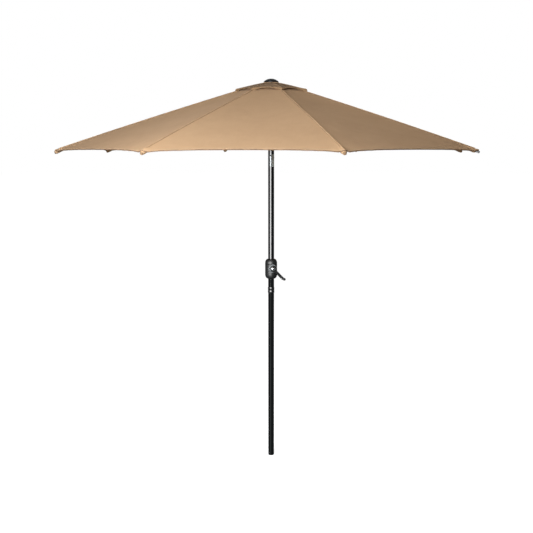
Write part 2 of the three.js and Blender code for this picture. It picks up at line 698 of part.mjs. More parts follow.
const umbrella = new THREE.Group();
umbrella.add(piece('pole_end_plug', poleEndPlug(), 'plastic'));
umbrella.add(piece('lower_pole_tube', lowerPoleTube(), 'black'));
umbrella.add(piece('pole_collar', poleCollar(), 'plastic'));
umbrella.add(piece('mast_tube', mastTube(), 'black'));
umbrella.add(piece('tilt_yoke', tiltYoke(), 'silver'));
umbrella.add(piece('tilt_pin', tiltPin(), 'steel'));
umbrella.add(piece('tilt_block', tiltBlock(), 'silver'));
umbrella.add(piece('tilt_button', tiltButton(), 'plastic'));
umbrella.add(piece('upper_pole_tube', upperPoleTube(), 'black'));
umbrella.add(piece('crank_housing_lower', crankHousingLower(), 'plastic'));
umbrella.add(piece('crank_housing_upper', crankHousingUpper(), 'plastic'));
umbrella.add(piece('crank_bezel', crankBezel(), 'bezel'));
umbrella.add(piece('housing_screw_low', housingScrew(CRANK_Z - SCREW_DROP), 'steel'));
umbrella.add(piece('housing_screw_high', housingScrew(CRANK_Z + SCREW_RISE), 'steel'));
umbrella.add(piece('crank_shaft', crankShaft(), 'steel'));
umbrella.add(piece('crank_arm', crankArm(), 'plastic'));
umbrella.add(piece('crank_cap', crankCap(), 'steel'));
umbrella.add(piece('crank_knob', crankKnob(), 'plastic'));
umbrella.add(piece('top_hub', topHub(), 'plastic'));
umbrella.add(piece('top_pulley', topPulley(), 'plastic'));
umbrella.add(piece('pulley_pin', pulleyPin(), 'steel'));
umbrella.add(piece('runner_sleeve', runnerSleeve(), 'plastic'));
umbrella.add(piece('runner_collar', runnerCollar(), 'plastic'));
umbrella.add(piece('finial', finial(), 'plastic'));
umbrella.add(piece('vent_canopy', ventCanopy(), 'fabric'));

const ribGeometry = ribBody();
const tipGeometry = ribTip();
const strutGeometry = strutBar();
const sectorGeometry = canopySector();
for (let k = 0; k < RIB_COUNT; k += 1) {
  const spoke = new THREE.Group();
  spoke.rotation.z = -QUARTER + k * RIB_STEP;
  spoke.add(piece(`rib_${k + 1}`, ribGeometry, 'black'));
  spoke.add(piece(`rib_tip_${k + 1}`, tipGeometry, 'plastic'));
  spoke.add(piece(`strut_${k + 1}`, strutGeometry, 'black'));
  spoke.add(piece(`canopy_sector_${k + 1}`, sectorGeometry, 'fabric'));
  umbrella.add(spoke);
}

export default umbrella;
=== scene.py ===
# %% [markdown]
# # A crank-lift market umbrella
# The real object is an eight-rib umbrella on a two-piece black pole. A crank winds a runner up the pole,
# the runner's struts push the ribs out, and a push-button joint under the canopy lets the top lean.
# The solid model, made first, gives every size and every moving body, so the lesson starts by loading
# it. Pieces on the pole read their heights from it, and the ribs and the cloth repeat its driving sizes
# as named values. Each piece then rides on the body it belongs to.

# %% Load the solid model
import math

import bmesh
import bpy
from mathutils import Matrix, Vector


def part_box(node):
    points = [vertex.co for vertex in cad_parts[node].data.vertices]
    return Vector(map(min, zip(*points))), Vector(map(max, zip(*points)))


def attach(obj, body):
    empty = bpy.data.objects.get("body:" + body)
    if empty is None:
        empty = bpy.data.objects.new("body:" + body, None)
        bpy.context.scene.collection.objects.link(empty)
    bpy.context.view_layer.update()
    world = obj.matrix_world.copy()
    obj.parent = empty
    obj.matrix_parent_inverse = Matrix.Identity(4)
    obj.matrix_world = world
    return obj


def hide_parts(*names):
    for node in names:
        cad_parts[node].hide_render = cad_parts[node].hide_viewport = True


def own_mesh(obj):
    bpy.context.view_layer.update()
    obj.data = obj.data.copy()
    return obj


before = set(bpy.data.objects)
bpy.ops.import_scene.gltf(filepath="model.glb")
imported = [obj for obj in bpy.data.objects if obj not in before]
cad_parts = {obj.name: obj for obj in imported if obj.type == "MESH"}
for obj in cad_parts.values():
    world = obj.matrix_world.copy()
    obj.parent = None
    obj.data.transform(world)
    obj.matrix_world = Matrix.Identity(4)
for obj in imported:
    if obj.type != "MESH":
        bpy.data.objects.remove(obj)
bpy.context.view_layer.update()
scene = bpy.context.scene


def add_object(name, data):
    """Makes an object of a mesh, lamp or camera and puts it in the scene."""
    made = bpy.data.objects.new(name, data)
    scene.collection.objects.link(made)
    return made


# %% [markdown]
# ## Camera, floor and lights
# The camera stands back and uses a normal lens, so the ribs keep their true angles. It could be aimed
# with a Track To constraint, but plain angles are easier to keep exact. The floor is a pale sheet that
# glows, as an overexposed studio sweep does, and shadow still falls on it softly. Two kinds of light are
# used: broad lamps that shade the cloth, and tall soft boxes seen only in reflections, because glossy
# black paint shows its lamps and little else.

# %% Camera
CAMERA_TURN = math.radians(-15.7)
CAMERA_DISTANCE = 5.556
CAMERA_HEIGHT = 2.02
CAMERA_DIP = 7.84
CAMERA_ROLL = 0.0008
CAMERA_ASIDE = 0.00525
LENS = 58.96
camera_data = bpy.data.cameras.new("camera")
camera_data.lens = LENS
camera_data.sensor_width = 36.0
camera = add_object("camera", camera_data)
camera.location = (
    CAMERA_DISTANCE * math.sin(CAMERA_TURN),
    -CAMERA_DISTANCE * math.cos(CAMERA_TURN),
    CAMERA_HEIGHT,
)
camera.rotation_euler = (math.radians(90 - CAMERA_DIP), CAMERA_ROLL, CAMERA_TURN + CAMERA_ASIDE)
scene.camera = camera
scene.view_settings.view_transform = "Standard"
print("camera at", tuple(round(v, 3) for v in camera.location))

# %% Floor and surroundings
FLOOR_RADIUS = 60.0
FLOOR_GLOW = 0.86
SKY_LIGHT = 0.20
SKY_GLOSS = 0.14


def stage_material(name, colour, glow):
    """A plain matt material for what stands round the object."""
    made = bpy.data.materials.new(name)
    made.use_nodes = True
    shader = made.node_tree.nodes["Principled BSDF"]
    shader.inputs["Base Color"].default_value = (*colour, 1)
    shader.inputs["Roughness"].default_value = 1.0
    shader.inputs["Specular IOR Level"].default_value = 0.0
    shader.inputs["Emission Color"].default_value = (*colour, 1)
    shader.inputs["Emission Strength"].default_value = glow
    return made


def stage_disc(name, radius, height, material, first=0.0, last=2 * math.pi, inner=0.0):
    """A flat disc, or a slice of one, that belongs to the studio."""
    steps = 64
    angles = [first + (last - first) * i / steps for i in range(steps + 1)]
    verts = [(inner * math.cos(a), inner * math.sin(a), height) for a in angles]
    verts += [(radius * math.cos(a), radius * math.sin(a), height) for a in angles]
    count = steps + 1
    faces = [(i, count + i, count + i + 1, i + 1) for i in range(steps)]
    mesh = bpy.data.meshes.new(name)
    mesh.from_pydata(verts, [], faces)
    mesh.materials.append(material)
    disc = add_object(name, mesh)
    return disc


floor_white = stage_material("floor_white", (0.96, 0.97, 0.98), FLOOR_GLOW)
floor = stage_disc("floor", FLOOR_RADIUS, -0.0005, floor_white)
floor.visible_glossy = False
floor.visible_diffuse = False

world = bpy.data.worlds.new("studio")
scene.world = world
world.use_nodes = True
world_nodes = world.node_tree.nodes


def sky(node, colour, strength):
    node.inputs["Color"].default_value = (*colour, 1)
    node.inputs["Strength"].default_value = strength
    return node


sky_seen = sky(world_nodes["Background"], (1, 1, 1), 1.0)
sky_light = sky(world_nodes.new("ShaderNodeBackground"), (1.0, 0.93, 0.87), SKY_LIGHT)
sky_gloss = sky(world_nodes.new("ShaderNodeBackground"), (0.9, 0.97, 1.0), SKY_GLOSS)
ray = world_nodes.new("ShaderNodeLightPath")
either = world_nodes.new("ShaderNodeMixShader")
dimmer = world_nodes.new("ShaderNodeMixShader")
link = world.node_tree.links.new
link(ray.outputs["Is Camera Ray"], either.inputs["Fac"])
link(ray.outputs["Is Glossy Ray"], dimmer.inputs["Fac"])
link(sky_light.outputs["Background"], dimmer.inputs[1])
link(sky_gloss.outputs["Background"], dimmer.inputs[2])
link(dimmer.outputs["Shader"], either.inputs[1])
link(sky_seen.outputs["Background"], either.inputs[2])
link(either.outputs["Shader"], world_nodes["World Output"].inputs["Surface"])
print("floor radius", FLOOR_RADIUS, "m, surroundings white to the eye and", SKY_LIGHT, "as light")


# %% Lamps
def toward(turn, distance, height):
    """A place round the pole: turn is measured from the camera, in degrees, to its right."""
    angle = CAMERA_TURN + math.radians(turn)
    return Vector((distance * math.sin(angle), -distance * math.cos(angle), height))


def soft_box(name, place, target, width, tall, power, gloss=False, cloth=True):
    lamp = bpy.data.lights.new(name, "AREA")
    lamp.shape = "RECTANGLE"
    lamp.size, lamp.size_y, lamp.energy = width, tall, power
    box = add_object(name, lamp)
    box.location = place
    box.rotation_euler = (Vector(target) - place).to_track_quat("-Z", "Y").to_euler()
    box.visible_camera = False
    box.visible_glossy = gloss
    box.visible_diffuse = cloth
    box.visible_transmission = cloth
    return box


key = soft_box("key", toward(-17, 3.5, 2.42), (-0.3, -0.6, 2.15), 1.2, 0.7, 112)
key.data.color = (0.96, 1.0, 1.07)
soft_box("top_fill", toward(0, 1.5, 4.6), (0, 0, 2.2), 2.5, 2.5, 10)
soft_box("back_fill", toward(165, 4.5, 3.6), (0, 0.3, 2.0), 2.5, 1.5, 24)
soft_box("pole_box", toward(-19.5, 3.5, 2.0), (0, 0, 2.0), 2.5, 2.5, 390, gloss=True, cloth=False)
soft_box("edge_box", toward(-75, 3.4, 1.9), (0, 0, 1.9), 1.2, 2.4, 14, gloss=True, cloth=False)
CARD_REACH = 8.5
CARD_SPAN = math.radians(38)
sheen_card = stage_material("sheen_card", (0.25, 0.27, 0.26), 2.0)
first_turn = -math.pi / 2 + CAMERA_TURN + math.radians(-40)
card = stage_disc("floor_card", CARD_REACH, 0.004, sheen_card, first_turn,
                  first_turn + CARD_SPAN, 0.03)
card.visible_camera = False
card.visible_diffuse = False
card.visible_shadow = False
card.visible_transmission = False

# %% [markdown]
# ## Shader groups
# Several finishes share the same small effects, so each effect is a node group with named inputs that
# is built once: a plain weave for the cloth, a drifting tone for cloth and paint, and a fine grain for
# powder coat and moulded plastic. An image could hold all this, but a procedure keeps its detail at any
# distance and needs no file. The groups give only values that change over the surface. The shaders, and
# every number that is the same all over, stay in the materials.

# %% Group helper
def shader_group(name, inputs, outputs):
    tree = bpy.data.node_groups.new(name, "ShaderNodeTree")
    for label, kind, value in inputs:
        socket = tree.interface.new_socket(label, in_out="INPUT", socket_type=kind)
        if value is not None:
            socket.default_value = value
    for label, kind in outputs:
        tree.interface.new_socket(label, in_out="OUTPUT", socket_type=kind)
    enter = tree.nodes.new("NodeGroupInput")
    leave = tree.nodes.new("NodeGroupOutput")
    return tree, enter, leave


def calc(tree, operation, *values, clamp=False):
    """A Math node: each value is a number or a socket."""
    node = tree.nodes.new("ShaderNodeMath")
    node.operation = operation
    node.use_clamp = clamp
    for socket, value in zip(node.inputs, values):
        if isinstance(value, (int, float)):
            socket.default_value = value
        else:
            tree.links.new(value, socket)
    return node.outputs[0]


def noise(tree, vector, scale, detail=2.0, rough=0.5):
    node = tree.nodes.new("ShaderNodeTexNoise")
    node.inputs["Detail"].default_value = detail
    node.inputs["Roughness"].default_value = rough
    if isinstance(scale, (int, float)):
        node.inputs["Scale"].default_value = scale
    else:
        tree.links.new(scale, node.inputs["Scale"])
    tree.links.new(vector, node.inputs["Vector"])
    return node.outputs["Fac"]


# %% Plain weave
def build_weave():
    tree, enter, leave = shader_group(
        "plain_weave",
        [("Vector", "NodeSocketVector", None), ("Threads", "NodeSocketFloat", 1100.0),
         ("Slub", "NodeSocketFloat", 0.3)],
        [("Height", "NodeSocketFloat"), ("Tone", "NodeSocketFloat")],
    )
    parts = tree.nodes.new("ShaderNodeSeparateXYZ")
    tree.links.new(enter.outputs["Vector"], parts.inputs[0])
    waves = []
    for axis in ("X", "Y"):
        turns = calc(tree, "MULTIPLY", parts.outputs[axis], enter.outputs["Threads"])
        waves.append(calc(tree, "SINE", calc(tree, "MULTIPLY", turns, math.pi)))
    over = calc(tree, "GREATER_THAN", calc(tree, "MULTIPLY", *waves), 0.0)
    warp, weft = (calc(tree, "ABSOLUTE", w) for w in waves)
    under = calc(tree, "SUBTRACT", 1.0, over)
    raised = calc(tree, "ADD", calc(tree, "MULTIPLY", warp, over),
                  calc(tree, "MULTIPLY", weft, under))
    tree.links.new(raised, leave.inputs["Height"])
    streaks = []
    for stretch in ((260.0, 9.0, 9.0), (9.0, 260.0, 9.0)):
        scale = tree.nodes.new("ShaderNodeVectorMath")
        scale.operation = "MULTIPLY"
        scale.inputs[1].default_value = stretch
        tree.links.new(enter.outputs["Vector"], scale.inputs[0])
        streaks.append(noise(tree, scale.outputs[0], 1.0, 3.0))
    slub = calc(tree, "SUBTRACT", calc(tree, "ADD", *streaks), 1.0)
    spread = calc(tree, "MULTIPLY", slub, enter.outputs["Slub"])
    shade = calc(tree, "ADD", calc(tree, "MULTIPLY", raised, 0.12), spread)
    tree.links.new(shade, leave.inputs["Tone"])
    return tree


plain_weave = build_weave()
print("plain_weave nodes", len(plain_weave.nodes))


# %% Drifting tone
def build_drift():
    tree, enter, leave = shader_group(
        "drifting_tone",
        [("Vector", "NodeSocketVector", None), ("Size", "NodeSocketFloat", 4.0),
         ("Amount", "NodeSocketFloat", 0.1)],
        [("Tone", "NodeSocketFloat")],
    )
    broad = noise(tree, enter.outputs["Vector"], enter.outputs["Size"], 3.0, 0.55)
    finer = calc(tree, "MULTIPLY", enter.outputs["Size"], 7.3)
    close = noise(tree, enter.outputs["Vector"], finer, 2.0)
    both = calc(tree, "ADD", calc(tree, "MULTIPLY", broad, 1.4), calc(tree, "MULTIPLY", close, 0.6))
    centred = calc(tree, "SUBTRACT", both, 1.0)
    tree.links.new(calc(tree, "MULTIPLY", centred, enter.outputs["Amount"]), leave.inputs["Tone"])
    return tree


drifting_tone = build_drift()


# %% Fine grain
def build_grain():
    tree, enter, leave = shader_group(
        "fine_grain",
        [("Vector", "NodeSocketVector", None), ("Grain", "NodeSocketFloat", 900.0),
         ("Scuff", "NodeSocketFloat", 0.15)],
        [("Height", "NodeSocketFloat"), ("Scuffs", "NodeSocketFloat")],
    )
    pebble = tree.nodes.new("ShaderNodeTexVoronoi")
    pebble.inputs["Randomness"].default_value = 0.9
    tree.links.new(enter.outputs["Vector"], pebble.inputs["Vector"])
    tree.links.new(enter.outputs["Grain"], pebble.inputs["Scale"])
    skin = noise(tree, enter.outputs["Vector"], enter.outputs["Grain"], 1.0)
    height = calc(tree, "ADD", calc(tree, "MULTIPLY", pebble.outputs["Distance"], 0.5), skin)
    tree.links.new(height, leave.inputs["Height"])
    rub = noise(tree, enter.outputs["Vector"], 38.0, 6.0, 0.7)
    rubbed = calc(tree, "MULTIPLY", calc(tree, "SUBTRACT", rub, 0.52), 4.0, clamp=True)
    tree.links.new(calc(tree, "MULTIPLY", rubbed, enter.outputs["Scuff"]), leave.inputs["Scuffs"])
    return tree


fine_grain = build_grain()
print("groups", [g.name for g in bpy.data.node_groups])

# %% [markdown]
# ## Finishes
# The cover is taken as polyester, a matt plain weave with a slight nap, so its material mixes two
# tans by the weave and by a slow drift in tone, and its height feeds a bump. The pole is powder coated:
# black, glossy, with a faint orange peel. The moulded parts are black plastic with a spark-eroded grain.
# Each finish could be one colour, but at arm's length a real surface is never even.

# %% Material helpers
def set_up(name, colour, rough, metal=0.0, **uniform):
    """A Principled material with its even numbers set on the shader's own sockets."""
    made = bpy.data.materials.new(name)
    made.use_nodes = True
    made.diffuse_color = (*colour, 1)
    shader = made.node_tree.nodes["Principled BSDF"]
    shader.inputs["Base Color"].default_value = (*colour, 1)
    shader.inputs["Roughness"].default_value = rough
    shader.inputs["Metallic"].default_value = metal
    for label, value in uniform.items():
        shader.inputs[label.replace("_", " ")].default_value = value
    return made, made.node_tree, shader


def placed(tree, group, vector, **values):
    node = tree.nodes.new("ShaderNodeGroup")
    node.node_tree = group
    tree.links.new(vector, node.inputs["Vector"])
    for label, value in values.items():
        node.inputs[label].default_value = value
    return node


def bump(tree, shader, height, strength, distance):
    node = tree.nodes.new("ShaderNodeBump")
    node.inputs["Strength"].default_value = strength
    node.inputs["Distance"].default_value = distance
    tree.links.new(height, node.inputs["Height"])
    tree.links.new(node.outputs["Normal"], shader.inputs["Normal"])


def blend_colours(tree, shader, amount, dark, light):
    mix = tree.nodes.new("ShaderNodeMix")
    mix.data_type = "RGBA"
    mix.inputs["A"].default_value = (*dark, 1)
    mix.inputs["B"].default_value = (*light, 1)
    tree.links.new(amount, mix.inputs["Factor"])
    tree.links.new(mix.outputs["Result"], shader.inputs["Base Color"])


# %% Cloth
def cloth(name, dark, light, slub=0.3, drift=0.5):
    made, tree, shader = set_up(name, light, 0.86, Sheen_Weight=0.03, Sheen_Roughness=0.45)
    shader.inputs["Specular IOR Level"].default_value = 0.1
    own = tree.nodes.new("ShaderNodeUVMap")
    own.uv_map = "cloth"
    body = tree.nodes.new("ShaderNodeTexCoord")
    woven = placed(tree, plain_weave, own.outputs["UV"], Threads=1100.0, Slub=slub)
    slow = placed(tree, drifting_tone, body.outputs["Object"], Size=2.6, Amount=drift)
    tone = calc(tree, "ADD", woven.outputs["Tone"], slow.outputs["Tone"])
    amount = calc(tree, "ADD", tone, 0.5, clamp=True)
    blend_colours(tree, shader, amount, dark, light)
    rough = calc(tree, "ADD", calc(tree, "MULTIPLY", tone, -0.12), 0.84, clamp=True)
    tree.links.new(rough, shader.inputs["Roughness"])
    bump(tree, shader, woven.outputs["Height"], 0.35, 0.0004)
    return made


canopy_cloth = cloth("canopy_cloth", (0.475, 0.293, 0.155), (0.625, 0.405, 0.225))
# This copy of the cover's cloth is a touch lighter, as a painted highlight on the hem's rolled band; the
# gathered crown wears it too.
hem_cloth = cloth("hem_cloth", (0.49, 0.31, 0.17), (0.64, 0.425, 0.245), slub=0.4)
# This dark brown copy of the cover's cloth is painted shade, for the underside of the hem's roll.
roll_shade_cloth = cloth("roll_shade_cloth", (0.13, 0.075, 0.04), (0.22, 0.135, 0.075), slub=0.4)
# This darker copy of the cover's cloth is painted shade: the vent, its hem, skirt and seams all wear it.
shaded_vent_cloth = cloth("shaded_vent_cloth", (0.24, 0.145, 0.074), (0.33, 0.21, 0.11), slub=0.35)
# This darker copy of the cover's cloth is painted shade, for the edges of each rib's seam and the nose of
# each tip pocket.
painted_shade_cloth = cloth("painted_shade_cloth", (0.27, 0.165, 0.085), (0.38, 0.24, 0.13), slub=0.35)


def thread_finish():
    made, tree, shader = set_up("stitch_thread", (0.46, 0.30, 0.17), 0.7)
    body = tree.nodes.new("ShaderNodeTexCoord")
    slow = placed(tree, drifting_tone, body.outputs["Object"], Size=300.0, Amount=1.0)
    blend_colours(tree, shader, calc(tree, "ADD", slow.outputs["Tone"], 0.5, clamp=True),
                  (0.40, 0.26, 0.14), (0.54, 0.36, 0.21))
    return made


stitch_thread = thread_finish()


# %% Paint, plastic and metal
def coated(name, colour, worn, rough, grain, depth, scuff=0.15, metal=0.0, **uniform):
    made, tree, shader = set_up(name, colour, rough, metal, **uniform)
    body = tree.nodes.new("ShaderNodeTexCoord")
    skin = placed(tree, fine_grain, body.outputs["Object"], Grain=grain, Scuff=scuff)
    slow = placed(tree, drifting_tone, body.outputs["Object"], Size=9.0, Amount=0.25)
    amount = calc(tree, "ADD", skin.outputs["Scuffs"], slow.outputs["Tone"], clamp=True)
    blend_colours(tree, shader, amount, colour, worn)
    spread = calc(tree, "MULTIPLY", skin.outputs["Scuffs"], 0.5)
    tree.links.new(calc(tree, "ADD", spread, rough, clamp=True), shader.inputs["Roughness"])
    bump(tree, shader, skin.outputs["Height"], depth, 0.0003)
    return made


pole_paint = coated("pole_paint", (0.0035, 0.004, 0.0045), (0.012, 0.013, 0.014), 0.06, 700.0,
                    0.010, 0.05, IOR=1.5)
rib_paint = coated("rib_paint", (0.012, 0.012, 0.013), (0.03, 0.03, 0.032), 0.38, 900.0, 0.06,
                   0.2, IOR=1.5)
black_plastic = coated("black_plastic", (0.012, 0.013, 0.013), (0.035, 0.036, 0.037), 0.42, 1500.0,
                       0.16, 0.25, IOR=1.5)
gloss_plastic = coated("gloss_plastic", (0.008, 0.008, 0.009), (0.02, 0.02, 0.021), 0.2, 1200.0,
                       0.03, 0.12, IOR=1.5, Coat_Weight=0.4, Coat_Roughness=0.1)
# This pale grey is a painted highlight, for the light that the crank ring's rim catches.
grey_plastic = coated("grey_plastic", (0.33, 0.35, 0.35), (0.45, 0.47, 0.47), 0.45, 1500.0, 0.12,
                      0.3)
satin_metal = coated("satin_metal", (0.10, 0.108, 0.112), (0.16, 0.17, 0.175), 0.16, 1300.0,
                     0.03, 0.2, 0.35)
pale_metal = coated("pale_metal", (0.80, 0.92, 0.88), (0.88, 0.95, 0.92), 0.4, 1300.0, 0.05, 0.3,
                    0.05)
bright_steel = coated("bright_steel", (0.74, 0.76, 0.78), (0.6, 0.6, 0.62), 0.14, 1600.0, 0.02,
                      0.3, 1.0)
print("materials", len(bpy.data.materials))

# %% [markdown]
# ## Mesh helpers
# Most hardware on the pole is turned or moulded, so it is a profile swept round an axis. Blender's Spin
# or a Screw modifier could do it, but a small function lets the profile carry a fillet at each corner,
# and small fillets are what catches the light. Long flat links get the same treatment along a straight
# line. Anything with a slot is cut by a Boolean and then given a narrow bevel.

# %% Making a mesh
def finish_mesh(name, mesh, material, sharp=35.0, recalc=True):
    """Closes doubles, points faces outwards, smooths all but sharp edges and makes the object."""
    work = bmesh.new()
    work.from_mesh(mesh)
    bmesh.ops.remove_doubles(work, verts=work.verts, dist=1e-7)
    if recalc:
        bmesh.ops.recalc_face_normals(work, faces=work.faces)
    for face in work.faces:
        face.smooth = True
    work.to_mesh(mesh)
    work.free()
    mesh.set_sharp_from_angle(angle=math.radians(sharp))
    if not mesh.materials:
        mesh.materials.append(material)
    return add_object(name, mesh)


def from_parts(name, verts, faces, material, place=None, sharp=35.0):
    mesh = bpy.data.meshes.new(name)
    mesh.from_pydata([tuple(v) for v in verts], [], faces)
    if place is not None:
        mesh.transform(place)
    return finish_mesh(name, mesh, material, sharp)


def rounded(corners, closed=False, steps=5):
    """A profile with an arc at each corner, from (across, up, fillet) triples."""
    points = []
    count = len(corners)
    for i, (x, y, fillet) in enumerate(corners):
        here = Vector((x, y))
        if fillet <= 0 or (not closed and i in (0, count - 1)):
            points.append((x, y))
            continue
        before = Vector(corners[i - 1][:2]) - here
        after = Vector(corners[(i + 1) % count][:2]) - here
        half = before.angle(after) / 2
        cut = min(fillet / math.tan(half), 0.49 * before.length, 0.49 * after.length)
        radius = cut * math.tan(half)
        u, v = before.normalized(), after.normalized()
        centre = here + (u + v).normalized() * radius / math.sin(half)
        start, end = here + u * cut - centre, here + v * cut - centre
        turn = math.atan2(start.cross(end), start.dot(end))
        for step in range(steps + 1):
            arm = Matrix.Rotation(turn * step / steps, 2) @ start
            points.append(tuple(centre + arm))
    return points


def supported(profile, closed):
    """Adds a point near each end of a long side, so that its shading stays straight."""
    ends = profile[1:] + profile[:1] if closed else profile[1:]
    points = []
    for start, end in zip(profile, ends):
        points.append(start)
        side = Vector(end) - Vector(start)
        if side.length > 0.006:
            inset = side.normalized() * 0.0008
            points += [tuple(Vector(start) + inset), tuple(Vector(end) - inset)]
    return points if closed else points + [profile[-1]]


def lathe(name, profile, material, closed=False, segments=96, place=None, sharp=35.0):
    """Sweeps a profile of (radius, height) round Z; place then puts it where it belongs."""
    verts, rings = [], []
    for radius, height in supported(list(profile), closed):
        if radius < 1e-7:
            rings.append([len(verts)] * segments)
            verts.append((0, 0, height))
            continue
        rings.append(list(range(len(verts), len(verts) + segments)))
        for s in range(segments):
            angle = 2 * math.pi * s / segments
            verts.append((radius * math.cos(angle), radius * math.sin(angle), height))
    faces = []
    pairs = list(zip(rings, rings[1:]))
    if closed:
        pairs.append((rings[-1], rings[0]))
    for low, high in pairs:
        for s in range(segments):
            t = (s + 1) % segments
            face = []
            for corner in (low[s], low[t], high[t], high[s]):
                if corner not in face:
                    face.append(corner)
            if len(face) > 2:
                faces.append(face)
    return from_parts(name, verts, faces, material, place, sharp)


def plug(name, radius, low, high, material, segments=96, place=None):
    """A plain cylinder along Z, mostly for cutting with."""
    ends = [(0, low), (radius, low), (radius, high), (0, high)]
    return lathe(name, ends, material, segments=segments, place=place)


def link_bar(name, profile, first, last, material, place=None, arc=14, sharp=35.0):
    """A bar with round ends in the XY plane: profile is (distance from its axis, height)."""
    first, last = Vector(first), Vector(last)
    along = math.atan2(last.y - first.y, last.x - first.x)
    verts, rings = [], []
    for reach, height in profile:
        ring = []
        for end, turn in ((last, -math.pi / 2), (first, math.pi / 2)):
            for step in range(arc + 1):
                angle = along + turn + math.pi * step / arc
                ring.append(len(verts))
                verts.append((end.x + reach * math.cos(angle), end.y + reach * math.sin(angle),
                              height))
        rings.append(ring)
    count = len(rings[0])
    faces = [rings[0][::-1], rings[-1]]
    for low, high in zip(rings, rings[1:]):
        for s in range(count):
            t = (s + 1) % count
            faces.append((low[s], low[t], high[t], high[s]))
    return from_parts(name, verts, faces, material, place, sharp)


def slab(name, outline, near, far, material, place=None):
    """A flat plate of the XY outline between two heights."""
    count = len(outline)
    verts = [(x, y, near) for x, y in outline] + [(x, y, far) for x, y in outline]
    faces = [tuple(range(count))[::-1], tuple(range(count, 2 * count))]
    faces += [(i, (i + 1) % count, count + (i + 1) % count, count + i) for i in range(count)]
    return from_parts(name, verts, faces, material, place)


# %% Cutting, joining and bevelling
def evaluated(piece):
    """The plain mesh that a piece's modifiers make; the modifiers are then taken off."""
    graph = bpy.context.evaluated_depsgraph_get()
    mesh = bpy.data.meshes.new_from_object(piece.evaluated_get(graph), depsgraph=graph)
    piece.modifiers.clear()
    return mesh


def shade_smooth(mesh, sharp):
    mesh.polygons.foreach_set("use_smooth", [True] * len(mesh.polygons))
    mesh.set_sharp_from_angle(angle=math.radians(sharp))


def settled(piece, sharp=30.0):
    """Applies a piece's modifiers and shades what is left."""
    old = piece.data
    piece.data = evaluated(piece)
    bpy.data.meshes.remove(old)
    shade_smooth(piece.data, sharp)
    return piece


def carve(piece, *cuts):
    """Booleans, one after another: each cut is (operation, other piece), and the other is used up."""
    for operation, other in cuts:
        step = piece.modifiers.new("cut", "BOOLEAN")
        step.operation, step.object, step.solver = operation, other, "EXACT"
        settled(piece)
        bpy.data.objects.remove(other)
    return piece


def evened(piece):
    """Weights the shading toward the large faces, so that a bevel doesn't bend it."""
    step = piece.modifiers.new("shade", "WEIGHTED_NORMAL")
    step.keep_sharp = True
    piece.data = evaluated(piece)
    return piece


def softened(piece, width, limit=35.0):
    step = piece.modifiers.new("edge", "BEVEL")
    step.width, step.segments, step.limit_method = width, 2, "ANGLE"
    step.angle_limit = math.radians(limit)
    step.use_clamp_overlap = True
    return evened(settled(piece, 40.0))


def fine_copy(name, node, material, edge=0.0004):
    """A smooth, bevelled copy of a solid whose shape is already right."""
    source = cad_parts[node]
    mesh = source.data.copy()
    mesh.materials.clear()
    work = bmesh.new()
    work.from_mesh(mesh)
    bmesh.ops.remove_doubles(work, verts=work.verts, dist=1e-6)
    bmesh.ops.dissolve_limit(work, angle_limit=math.radians(0.6), verts=work.verts,
                             edges=work.edges)
    work.to_mesh(mesh)
    work.free()
    piece = finish_mesh(name, mesh, material, 30.0, recalc=False)
    return softened(piece, edge, 32.0) if edge else piece


def rod_x(radius, start, end, y, z):
    turn = Matrix.Translation((0, y, z)) @ Matrix.Rotation(math.pi / 2, 4, "Y")
    return plug("rod", radius, start, end, pole_paint, 48, turn)


def second_finish(piece, material, chosen):
    """Gives a second material to the faces that a rule picks."""
    piece.data.materials.append(material)
    for face in piece.data.polygons:
        if chosen(face):
            face.material_index = 1


def facing_front(height):
    """Turns a piece made along +Z to point along -Y at a height on the pole."""
    return Matrix.Translation((0, 0, height)) @ Matrix.Rotation(math.pi / 2, 4, "X")


def on_body(piece, body, slot, *nodes):
    """The last step for each piece: its body and the nodes it stands for, which are hidden; slot is not
    used.
    """
    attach(piece, body)
    if nodes:
        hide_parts(*nodes)
    return piece


print("helpers ready")

# %% [markdown]
# ## The pole
# The pole is two steel tubes. The upper one is swaged, so that it slips 120 mm into the lower one, and
# a two-band collar hides the joint. Cylinders would do from far away. Turned profiles with small
# fillets are used instead, because the rolled rim of a tube shows as a thin bright line.

# %% Lower pole, plug and collar
POLE_RADIUS = 0.019
POLE_BORE = 0.0175
COLLAR_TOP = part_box("pole_collar")[1][2]
COLLAR_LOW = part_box("pole_collar")[0][2]
TUBE_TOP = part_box("lower_pole_tube")[1][2]

lower_pole = lathe("lower_pole", rounded([
    (POLE_BORE, 0.0053, 0.0004), (POLE_RADIUS, 0.0053, 0.0005),
    (POLE_RADIUS, TUBE_TOP, 0.0004), (POLE_BORE, TUBE_TOP, 0.0003)], closed=True), pole_paint,
    closed=True)
on_body(lower_pole, "lower_pole", "black_metal", "lower_pole_tube")

end_plug = lathe("end_plug", rounded([
    (0, 0.0, 0), (0.0176, 0.0, 0.0016), (POLE_RADIUS, 0.0018, 0.002), (POLE_RADIUS, 0.005, 0.0006),
    (0.0172, 0.005, 0.0002), (0.0172, 0.029, 0.001), (0.0150, 0.032, 0.0008), (0, 0.032, 0)]),
    black_plastic)
on_body(end_plug, "lower_pole", "black_plastic", "pole_end_plug")

